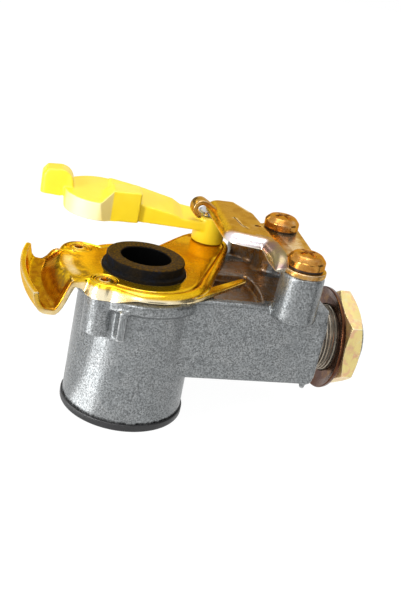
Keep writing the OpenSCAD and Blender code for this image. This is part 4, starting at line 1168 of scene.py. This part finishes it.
@dataclass
class LockingPlate:
    """The pressed plate over the arm: tongue, rolled edges, ear, foot, curl and its two pan-head screws."""

    tongue_h: float = 82.0
    foot_h: float = 78.0
    sheet_t: float = SHEET_T
    corner: Plan = (41.3, 6.6)
    corner_r: float = 3.0
    left_dir: float = 177.0
    front_dir: float = 253.6
    rear_y: float = 44.5
    corner_y: float = 2.2
    hub_y: float = -1.0
    roll_w: float = 5.5
    roll_drop: float = 4.4
    ear_x: float = 52.2
    ear_w: float = 5.0
    ear_low_h: float = 76.2
    ear_front: float = -23.4
    tip_start: float = -12.0
    tip_drop: float = 4.6
    fillet_r: float = 6.5
    spine_x: float = 52.0
    spine_bend_y: float = 31.0
    spine_lean: float = 5.0 / 13.5
    spine_gap: tuple[float, float] = (0.15, 0.3)
    step_w: float = 4.0
    step_span: tuple[float, float] = (-18.5, 31.5)
    step_ease: tuple[float, float] = (2.5, 2.0)
    tip_power: float = 2.6
    ear_dip: tuple[float, float] = (-6.0, 8.0)
    least_drop: float = 0.35
    crease: tuple = ((41.2, 22.0), (41.7, 17.0), (42.0, 13.6), (42.9, 10.6), (43.8, 8.4))
    crease_side: Plan = (0.28, 0.1)
    dimple: Plan = (49.8, 13.3)
    dimple_r: tuple[float, float] = (1.6, 1.1)
    mark_depth: float = 0.4
    foot_corners: tuple = ((55.2, 30.5), (54.6, -15.0))
    foot_bevel: float = 0.45
    screws: tuple[Plan, Plan] = PLATE_SCREWS
    boss_r: float = 9.0
    hole_r: float = 4.05
    head_r: float = 7.8
    head_h: float = 6.0
    shank_r: tuple[float, float] = (3.2, 4.0)
    shank_len: float = 17.0
    cross: tuple = ((-2.6, 3.4, 0.8), (1.0, 5.0, 1.15))
    cross_turns: tuple[float, float] = (20.0, 110.0)
    washer_t: float = 0.9
    curl_place: tuple[float, float, float] = (29.7, 36.0, 80.3)
    curl_r: float = 4.2
    curl_len: float = 7.0
    curl_lead: tuple = (7.2, 5.4, 3.6, 1.8)
    violet_y: tuple[float, float] = (-8.0, 9.0)
    hem_y: float = 5.0
    iris_corner: Plan = (54.0, -1.0)

    def build(self) -> None:
        """Builds the sheet, its foot, its curl and its screws."""
        main = cut(self.sheet().mesh("tongue"), self.marks().mesh("marks"))
        dress("locking_plate_tongue", main, TONGUE_GOLD, ["locking_plate"], self.front_hem_highlight, self.left_hem_light,
              self.iris, 50.0)
        dress("locking_plate_foot", self.foot(), TONGUE_GOLD)
        dress("locking_plate_curl", self.curl(), TONGUE_GOLD)
        for place, name in zip(self.screws, ("plate_screw_front", "plate_screw_rear")):
            dress(name + "_pan", self.screw(place), SCREW_GOLD, [name], sharp=32.0)

    def path(self) -> list[tuple]:
        """Follows the line where the flat of the tongue starts to roll down.

        Returns:
            For each step the edge point, the outward direction, the spine's y, and the share of ear.
        """
        out: list[tuple] = []
        corner, left, front = np.array(self.corner), unit(self.left_dir), unit(self.front_dir)
        start, first = corner + self.corner_r * left, corner + self.corner_r * front
        back, along = np.array([left[1], -left[0]]), np.array([-front[1], front[0]])
        for t in np.linspace(self.rear_y - corner[1], 0.0, 40)[:-1]:
            p = start + back * t
            out.append((p, left, p[1], 0.0))
        for t in (k / 12 for k in range(13)):
            d = unit(mix(self.left_dir, self.front_dir, t))
            out.append((corner + self.corner_r * d, d, mix(start[1], self.corner_y, t), 0.0))
        offset = first + self.fillet_r * front
        length = (self.ear_x - self.fillet_r - offset[0]) / along[0]
        hub = offset + length * along
        for t in (k / 12 for k in range(1, 12)):
            out.append((first + along * length * t, front, mix(self.corner_y, self.hub_y, t), 0.0))
        for t in (k / 14 for k in range(15)):
            d = unit(mix(self.front_dir, 180.0, t))
            out.append((hub - self.fillet_r * d, d, mix(self.hub_y, hub[1], t), ease(t)))
        for y in np.linspace(hub[1], self.ear_front, 30)[1:]:
            out.append((np.array([self.ear_x, y]), unit(180.0), y, 1.0))
        return out

    def sheet(self) -> Shell:
        """Lofts the tongue with its rolled edges, the ear and the step down to the foot."""
        rows = []
        for p, out, spine_y, ear in self.path():
            on_ear = 1.0 if ear == 1.0 else 0.0
            tip = on_ear * max(0.0, (self.tip_start - p[1]) / (self.tip_start - self.ear_front))
            top = self.tongue_h - self.tip_drop * tip ** self.tip_power
            dip_y, dip_w = self.ear_dip
            low = mix(self.tongue_h - self.roll_drop, self.ear_low_h, on_ear * ease((dip_y - p[1]) / dip_w))
            width, drop = mix(self.roll_w, self.ear_w, ear), max(top - low, self.least_drop)
            far_x = self.spine_x - max(0.0, spine_y - self.spine_bend_y) * self.spine_lean
            near_gap, least_w = self.spine_gap
            spine = np.array([max(far_x, p[0] + least_w), spine_y if ear < 1.0 else p[1]])
            (front, rear), (front_w, rear_w) = self.step_span, self.step_ease
            step = ease((rear - spine_y) / rear_w) * ease((spine_y - front) / front_w)
            fall = (top - self.foot_h) * step
            section = [(spine[0] + near_gap + self.step_w * step * (1 - t), spine[1], top - fall * ease(1 - t))
                       for t in (k / 8.0 for k in range(9))]
            section += [(*(spine + (p - spine) * k / 6.0), top) for k in range(1, 6)]
            for a in (math.radians(90.0 * k / 12) for k in range(13)):
                section.append((*(p + out * width * math.sin(a)), top - drop * (1 - math.cos(a))))
            rows.append(section)
        return solid_sheet(np.array(rows), self.sheet_t)

    def marks(self) -> Shell:
        """The press marks in the tongue's top, a crease and an oval dimple, as one tool."""
        line, side = np.array(self.crease), np.array(self.crease_side)
        crease = [tuple(q) for q in line - side] + [tuple(q) for q in (line + side)[::-1]]
        oval = [tuple(np.array(self.dimple) + self.dimple_r * unit(22.5 * k)) for k in range(16)]
        low, high = self.tongue_h - self.mark_depth, self.tongue_h + 1.0
        return Shell().prism(crease, low, high).prism(oval, low, high)

    def foot(self) -> Mesh:
        """The flat foot under the two screws, with their holes."""
        front, rear = self.screws
        outline = arc(front, self.boss_r, np.arange(180.0, 361.0, 10.0))
        outline += arc(rear, self.boss_r, np.arange(0.0, 141.0, 10.0)) + list(self.foot_corners)
        plain = Shell().prism(outline, self.foot_h - self.sheet_t, self.foot_h).mesh("foot")
        made, tool = bevelled(plain, self.foot_bevel), Shell()
        for place in self.screws:
            tool.add(turned(rod(self.hole_r, self.foot_h - 8.0, self.foot_h + 12.0), place, 48))
        return cut(made, tool.mesh("foot_drill"))

    def curl(self) -> Mesh:
        """The curl at the tongue's rear corner, rolled over the lever's root."""
        x, y, h = self.curl_place
        bend = arc((x, h), self.curl_r, np.arange(60.0, 271.0, 7.5))
        top = np.array([(bend[0][0] + 0.866 * t, bend[0][1] - 0.5 * t) for t in self.curl_lead] + bend)
        way = normed(np.gradient(top, axis=0))
        inside = top + self.sheet_t * np.stack([-way[:, 1], way[:, 0]], axis=1)
        loop = np.concatenate([top, inside[::-1]])
        rows = np.array([[(px, y + side * self.curl_len / 2, ph) for px, ph in loop] for side in (-1, 1)])
        shell, n = Shell().grid(rows, False, True), len(loop)
        shell.cap(range(n)).cap(range(n, 2 * n))
        return bevelled(shell.mesh("curl"), 0.5, 3, 50.0)

    def screw(self, place: Plan) -> Mesh:
        """A pan-head screw with a cross recess."""
        seat, r, h = self.foot_h + self.washer_t, self.head_r, self.head_h
        (core, shank), end = self.shank_r, seat - self.shank_len
        head = rounded([(shank, seat, 0.0), (r, seat, 0.35), (r, seat + h * 0.5, 1.6), (r - 2.0, seat + h * 0.86, 2.4),
                        (0.0, seat + h, 0.0)], 8)
        made = turned([(0.0, end), (core, end), (shank, end + 1.0), *head], place, 128).mesh("screw")
        for turn in self.cross_turns:
            loops = [[(*q, seat + h + up) for q in spun(((-u, -v), (u, -v), (u, v), (-u, v)), turn, place)]
                     for up, u, v in self.cross]
            bar = Shell().grid(np.array(loops), False, True).cap((0, 1, 2, 3)).cap((4, 5, 6, 7))
            made = cut(made, bar.mesh("slot"))
        return bevelled(made, 0.14, 2, 40.0)

    @staticmethod
    def facing(way: np.ndarray, turn: float) -> np.ndarray:
        """Rises from 0 to 1 where the surface turns to a plan direction."""
        return ramp(way[:, :2] @ unit(turn), 0.15, 0.4)

    def front_hem_highlight(self, co: np.ndarray, way: np.ndarray) -> np.ndarray:
        """Painted highlight, near white with the film's violet cast, on the front rolled edge where it faces the
        front.
        """
        return window(co[:, 1], *self.violet_y, 6.0, 4.0) * self.facing(way, self.front_dir)

    def left_hem_light(self, co: np.ndarray, way: np.ndarray) -> np.ndarray:
        """Painted light: the left rolled edge, where it faces the lamp, brighter gold."""
        return ramp(co[:, 1], self.hem_y, 4.0) * self.facing(way, self.left_dir)

    def iris(self, co: np.ndarray, way: np.ndarray) -> np.ndarray:
        """The violet and green film on the ear, whichever way it faces."""
        x, y = self.iris_corner
        return ramp(co[:, 1], y, -5.0) * ramp(co[:, 0], x, -2.0)


def solid_sheet(top: np.ndarray, thickness: float) -> Shell:
    """Gives a grid of points a thickness below it, and closes it all round.

    Args:
        top: Points of the upper face, as rows and columns.
        thickness: Thickness of the sheet.

    Returns:
        The closed shell.
    """
    way = normed(np.cross(np.gradient(top, axis=0), np.gradient(top, axis=1)))
    way = np.where(way[:, :, 2:3] > 0.02, -way, way)
    under = top + thickness * way
    n, m = top.shape[:2]
    loop = np.concatenate([top, under[:, ::-1]], axis=1)
    shell = Shell().grid(loop, False, True)
    shell.cap(range(2 * m))
    return shell.cap(range((n - 1) * 2 * m, n * 2 * m))


@dataclass
class DustCover:
    """The moulded yellow cover on its pivot."""

    skin: float = 0.42
    rounds: int = 7
    pivot: Plan = PIVOT
    lever_dir: float = 174.04
    web: tuple = ((34.0, 46.5, 52.5), (9.0, 10.8, 14.4))
    skirt_u: tuple[float, float] = (46.4, 68.0)
    full_u: tuple[float, float] = (50.5, 66.0)
    least_pale: float = 0.55

    def build(self) -> None:
        """Builds the cover with eased edges."""
        made = softened(node_copy("dust_cover"), self.skin, self.rounds)
        self.trim(made)
        dress("dust_cover_moulding", made, COVER_YELLOW, ["dust_cover"], self.pale,
              body=Body.COVER)

    def trim(self, made: Mesh) -> None:
        """Draws the cap's edge back beside the rib, so that the web falls straight from rib to skirt."""
        co = co_mm(made)
        u, v = self.local(co[:, :2] - self.pivot)
        along, reach = self.web
        beside = (u > along[0]) & (u < along[-1])
        over = np.where(beside, np.maximum(v - np.interp(u, along, reach), 0.0), 0.0)
        c, s = unit(self.lever_dir)
        co[:, 0] += over * s
        co[:, 1] -= over * c
        put_mm(made, co)

    def local(self, plan: np.ndarray) -> tuple[np.ndarray, np.ndarray]:
        """Parts of plan vectors along the lever and to its front."""
        c, s = unit(self.lever_dir)
        return plan[:, 0] * c + plan[:, 1] * s, -plan[:, 0] * s + plan[:, 1] * c

    def pale(self, co: np.ndarray, way: np.ndarray) -> np.ndarray:
        """Painted highlight on the cap's skirt and the slanted web beside it, where they face outwards and to the
        front.
        """
        u, v = self.local(co[:, :2] - self.pivot)
        faces = np.maximum(*self.local(way[:, :2]))
        skirt = window(u, *self.skirt_u, 0.5, 2.0) * ramp(v, 1.0, 3.0)
        fade = mix(self.least_pale, 1.0, window(u, *self.full_u, 3.0, 5.0))
        return ramp(way[:, 2], 0.72, -0.2) * skirt * fade * ramp(faces, 0.1, 0.4)


@dataclass
class SealRing:
    """The black rubber coupling seal."""

    hole_r: float = 10.4
    seal_r: float = 16.3
    step_r: float = 17.4
    flange_r: float = 19.8
    seat_h: float = 55.1
    plate_low_h: float = 60.6
    brown_h: float = 66.0
    shade_r: float = 11.0
    shade_h: float = 67.9
    deck_h: float = DECK_H

    def build(self) -> None:
        """Builds the seal with rounded lips."""
        profile = rounded([
            (self.hole_r, self.seat_h, 0.3), (self.flange_r, self.seat_h, 0.3), (self.flange_r, self.plate_low_h, 0.1),
            (self.step_r, self.plate_low_h, 0.0), (self.step_r, self.deck_h + 1.3, 0.5),
            (self.seal_r - 0.25, self.deck_h + 1.9, 0.4), (self.seal_r, FACE_H, 0.9),
            (self.hole_r, FACE_H, 0.8)], 6)
        dress("seal_lips", turned(profile, steps=180).mesh("seal"), SEAL, ["seal_ring"],
              # Painted brown sheen on the seal's top faces.
              lambda co, way: ramp(way[:, 2], 0.5, 0.4) * (co[:, 2] > self.brown_h),
              # Painted shade: black down the bore.
              veil=lambda co, way: ramp(np.hypot(co[:, 0], co[:, 1]), self.shade_r, -0.4) * (co[:, 2] < self.shade_h))


@dataclass
class StubFastening:
    """The dished washer and the lock nut on the stub."""

    axis_h: float = STUB_AXIS_H
    bore_r: float = 15.05
    washer_bore_r: float = 15.3
    washer_r: float = 23.0
    washer_x: float = 85.6
    washer_t: float = 2.0
    dish: float = 1.8
    dish_r: tuple[float, float] = (19.0, 19.6)
    nut_af: float = 39.0
    nut_t: float = 8.0
    nut_turn: float = 24.0
    corner_rise: float = 1.9
    corner_ease: float = 0.12

    def build(self) -> None:
        """Builds the washer and the nut."""
        x0, x1 = self.washer_x, self.washer_x + self.dish
        x2, r = x1 + self.washer_t, self.washer_r
        washer = rounded([(self.washer_bore_r, x1, 0.2), (self.dish_r[0], x1, 2.0), (r - 0.4, x0, 0.3),
                          (r, x0 + 0.5, 0.3), (r - 0.3, x0 + self.washer_t, 0.5), (self.dish_r[1], x2, 2.0),
                          (self.washer_bore_r, x2, 0.2)])
        dress("stub_washer_dished", turned(washer, about_x=self.axis_h).mesh("washer"), WASHER,
              ["stub_washer"])
        dress("lock_nut_hexagon", self.nut(x2).mesh("nut"), NUT, ["lock_nut"], sharp=25.0)

    def nut(self, x: float) -> Shell:
        """A hexagon nut whose corners are turned down by a cone at both faces."""
        hexa, flat, k = hexagon(self.nut_af, self.nut_turn), self.nut_af / 2, self.corner_ease
        corner, end, r = flat / math.cos(math.radians(30)), x + self.nut_t, self.bore_r

        def cone(depth: float) -> Callable[[float], float]:
            """Radius at a depth below a face."""
            limit = mix(flat - 0.5, corner + 0.25, min(depth / self.corner_rise, 1.0))

            def radius(angle: float) -> float:
                """The smaller of hexagon and cone, with an eased meeting."""
                a = hexa(angle)
                share = min(max(0.5 + (a - limit) / (2 * k), 0.0), 1.0)
                return mix(a, limit, share) - k * share * (1 - share)

            return radius

        depths = np.linspace(0.0, self.corner_rise, 14)
        outer = [(cone(d), x + d) for d in depths] + [(cone(d), end - d) for d in depths[::-1]]
        bore = [(r + 1.0, end), (r, end - 1.0), (r, x + 1.0), (r + 1.0, x)]
        return turned(outer + bore, steps=360, about_x=self.axis_h)


@dataclass
class BottomCap:
    """The black cap that closes the filter chamber."""

    rim_r: float = 26.75
    flange_t: float = 3.4
    spigot_r: float = 20.45
    spigot_h: float = 12.0
    groove: tuple[float, float] = (7.25, 9.75)
    groove_r: float = 17.95
    wall: float = 4.0
    floor_h: float = 5.4
    key_af: float = 17.0
    key_depth: float = 2.4

    def build(self) -> None:
        """Builds the cap with a rounded rim and its hexagon recess."""
        key, (low, high), r, inner = hexagon(self.key_af, 0.0), self.groove, self.spigot_r, self.spigot_r - self.wall
        rim = rounded([(12.0, 0.0, 0.0), (self.rim_r, 0.0, 1.1), (self.rim_r, self.flange_t, 0.5),
                       (r, self.flange_t, 0.0), (r, low, 0.0), (self.groove_r, low, 0.0), (self.groove_r, high, 0.0),
                       (r, high, 0.0), (r, self.spigot_h, 0.4), (inner, self.spigot_h, 0.4),
                       (inner, self.floor_h, 0.6), (0.0, self.floor_h, 0.0), (0.0, self.key_depth, 0.0)], 6)
        recess = [(key, self.key_depth), (key, 0.15)]
        dress("bottom_cap_moulding", turned(rim + recess, steps=180).mesh("cap"), CAP_BLACK,
              ["bottom_cap"])


@dataclass
class FilterSpring:
    """The coil spring between the bottom cap and the filter."""

    node: str = "filter_spring"

    def build(self) -> None:
        """Builds the spring."""
        dress("filter_spring_coil", node_copy(self.node), PLAIN_STEEL, [self.node], sharp=60.0,
              onto=Body.FILTER)


@dataclass
class KeptNodes:
    """The CAD nodes whose shape is shown as it is, each with its finish."""

    finishes: dict = field(default_factory=lambda: {
        "lock_washer_front": DARK_STEEL, "lock_washer_rear": DARK_STEEL, "pivot_pin": PLAIN_STEEL,
        "pivot_washer": PLAIN_STEEL, "filter_cage": CAGE_WHITE, "filter_mesh": GAUZE, "cap_o_ring": SEAL})

    def build(self) -> None:
        """Gives each node its material."""
        for name, finish in self.finishes.items():
            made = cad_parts[name].data
            made.materials.clear()
            made.materials.append(finish.material())
            LOG.info("%s: CAD node in %s", name, finish.name)


@dataclass
class Studio:
    """Camera, floor, cards and light."""

    azimuth: float = -18.91
    elevation: float = 23.97
    roll: float = 12.26
    distance: float = 374.53
    focal_px: float = 866.92
    centre_px: Plan = (202.8, 323.12)
    target: tuple[float, float, float] = (30.0, 0.0, 40.0)
    sensor_mm: float = 36.0
    floor_half: float = 4.0
    floor_gap: float = 0.0002
    floor_glow: float = 1.1
    glow_share: float = 0.87
    card_glow: float = 5.0
    glow_turn: float = 207.0
    glow_low: tuple = ((0.03, -0.010), (0.30, -0.050), (0.30, 0.050), (0.03, 0.010))
    glow_back: tuple = ((-0.21, 0.43, 0.17), (-0.12, 0.46, 0.17), (-0.12, 0.46, 0.23), (-0.21, 0.43, 0.23))
    floor_grey: float = 0.88
    card_grey: Colour = (0.035, 0.035, 0.038)
    card_rough: float = 0.9
    given_light: float = 0.45
    cards: tuple = (("card_right", (0.62, -0.20, 0.12), 0.42, 0.50), ("card_behind", (-0.10, 0.62, 0.12), 0.34, 0.20),
                    ("card_low", (0.13, -0.055, -0.058), 0.02, 0.12), ("card_nose", (-0.29, 0.43, 0.08), 0.12, 0.12),
                    ("card_front", (0.20, -0.75, 0.10), 0.40, 0.24))
    lamps: tuple = (("key", (-0.42, -0.23, 0.07), 0.08, 0.40, 2.4), ("top", (-0.05, 0.05, 0.75), 0.50, 0.50, 3.4),
                    ("front", (-0.25, -0.60, 0.40), 0.30, 0.30, 1.4))

    def build(self) -> None:
        """Builds the camera, the floor, the cards, the lamps and the world."""
        self.camera()
        self.floor()
        self.grey_cards()
        self.glow_cards()
        self.hang_lamps()
        self.world()
        bpy.context.scene.view_settings.view_transform = "Standard"

    def camera(self) -> None:
        """Sets the camera at the photograph's viewing angle."""
        a, e, r = (math.radians(v) for v in (self.azimuth, self.elevation, self.roll))
        back = Vector((math.sin(a) * math.cos(e), -math.cos(a) * math.cos(e), math.sin(e)))
        level = Vector((math.cos(a), math.sin(a), 0.0))
        upright = back.cross(level)
        right = math.cos(r) * level + math.sin(r) * upright
        up = -math.sin(r) * level + math.cos(r) * upright
        data = bpy.data.cameras.new("camera")
        cam = stand_in(data, "camera")
        turn = Matrix((right, up, back)).transposed().to_4x4()
        place = (Vector(self.target) - Vector(FOOT) + back * self.distance) * MM
        cam.matrix_world = Matrix.Translation(place) @ turn
        data.sensor_width = self.sensor_mm
        data.lens = self.focal_px * data.sensor_width / IMAGE_H
        data.shift_x = -(self.centre_px[0] - IMAGE_W / 2) / IMAGE_H
        data.shift_y = (self.centre_px[1] - IMAGE_H / 2) / IMAGE_H
        data.clip_start, data.clip_end = 0.01, 50.0
        bpy.context.scene.camera = cam

    @staticmethod
    def lay(name: str, corners: Sequence, paint: Material, mirrored_only: bool = True) -> None:
        """Adds one four-cornered face to the studio.

        Args:
            name: Name of the face.
            corners: Its corners, in metres.
            paint: Its material.
            mirrored_only: True for a card, which shows in glossy surfaces alone.
        """
        made = bpy.data.meshes.new(name)
        made.from_pydata([tuple(c) for c in corners], [], [(0, 1, 2, 3)])
        made.materials.append(paint)
        face = stand_in(made, name)
        if mirrored_only:
            face.visible_camera = face.visible_shadow = face.visible_diffuse = False

    def floor(self) -> None:
        """Lays the pale floor, which shows white and keeps a soft shadow."""
        paint = bpy.data.materials.new("floor_white")
        wire = Wiring.emptied(paint)
        matt = wire.node("ShaderNodeBsdfDiffuse", Color=(*[self.floor_grey] * 3, 1.0))
        glow = wire.node("ShaderNodeEmission", Strength=self.floor_glow)
        share = wire.node("ShaderNodeMixShader")
        for socket, source in zip(share.inputs, (wire.times(wire.seen(), self.glow_share),
                                                 matt.outputs[0], glow.outputs[0])):
            wire.join(source, socket)
        wire.show(share)
        half, z = self.floor_half, -FACE_H * MM - self.floor_gap
        self.lay("floor", [(-half, -half, z), (half, -half, z), (half, half, z), (-half, half, z)], paint, False)

    def grey_cards(self) -> None:
        """Stands up the dark cards that give the metal something to mirror."""
        paint = bpy.data.materials.new("card_grey")
        paint.use_nodes = True
        shader = paint.node_tree.nodes["Principled BSDF"]
        shader.inputs["Base Color"].default_value = (*self.card_grey, 1.0)
        shader.inputs["Roughness"].default_value = self.card_rough
        for name, place, wide, high in self.cards:
            aim = (LIT_SPOT - Vector(place)).to_track_quat("-Z", "Y").to_matrix().to_4x4()
            self.lay(name, [Matrix.Translation(place) @ aim @ Vector((x * wide / 2, y * high / 2, 0.0))
                            for x, y in ((-1, -1), (1, -1), (1, 1), (-1, 1))], paint)

    def glow_cards(self) -> None:
        """Adds two bright cards: one on the floor for the round faces of the casting, one behind for the nose."""
        plan = spun(self.glow_low, self.glow_turn)
        paint = bpy.data.materials.new("card_bright")
        wire = Wiring.emptied(paint)
        wire.show(wire.node("ShaderNodeEmission", Strength=self.card_glow))
        self.lay("card_glow_low", [(*q, -FACE_H * MM + 0.001) for q in plan], paint)
        self.lay("card_glow_back", self.glow_back, paint)

    def hang_lamps(self) -> None:
        """Hangs the soft lamps."""
        for name, place, wide, high, power in self.lamps:
            data = bpy.data.lights.new(name, "AREA")
            data.shape, data.size, data.size_y, data.energy = "RECTANGLE", wide, high, power
            lamp = stand_in(data, name)
            lamp.location = place
            lamp.rotation_euler = (LIT_SPOT - Vector(place)).to_track_quat("-Z", "Y").to_euler()

    def world(self) -> None:
        """Makes the white surroundings, dimmer for the light that they give off."""
        world = bpy.context.scene.world = bpy.data.worlds.new("white_tent")
        wire = Wiring.emptied(world)
        glow = wire.node("ShaderNodeBackground", Color=(1.0, 1.0, 1.0, 1.0))
        wire.join(wire.spread(wire.seen(), 0.0, 1.0, self.given_light, 1.0), glow.inputs["Strength"])
        wire.show(glow, "World")


def write_sizes() -> None:
    """Brings the scene's matrices up to date."""
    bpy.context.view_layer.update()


def main() -> None:
    """Builds the studio and every piece in order."""
    logging.basicConfig(level=logging.INFO, format="%(name)s: %(message)s")
    for part in (Studio(), Casting(), SealRing(), GuidePlate(), LockingPlate(), DustCover(), StubFastening(),
                 BottomCap(), FilterSpring(), KeptNodes()):
        part.build()
    write_sizes()


if __name__ == "__main__":
    main()
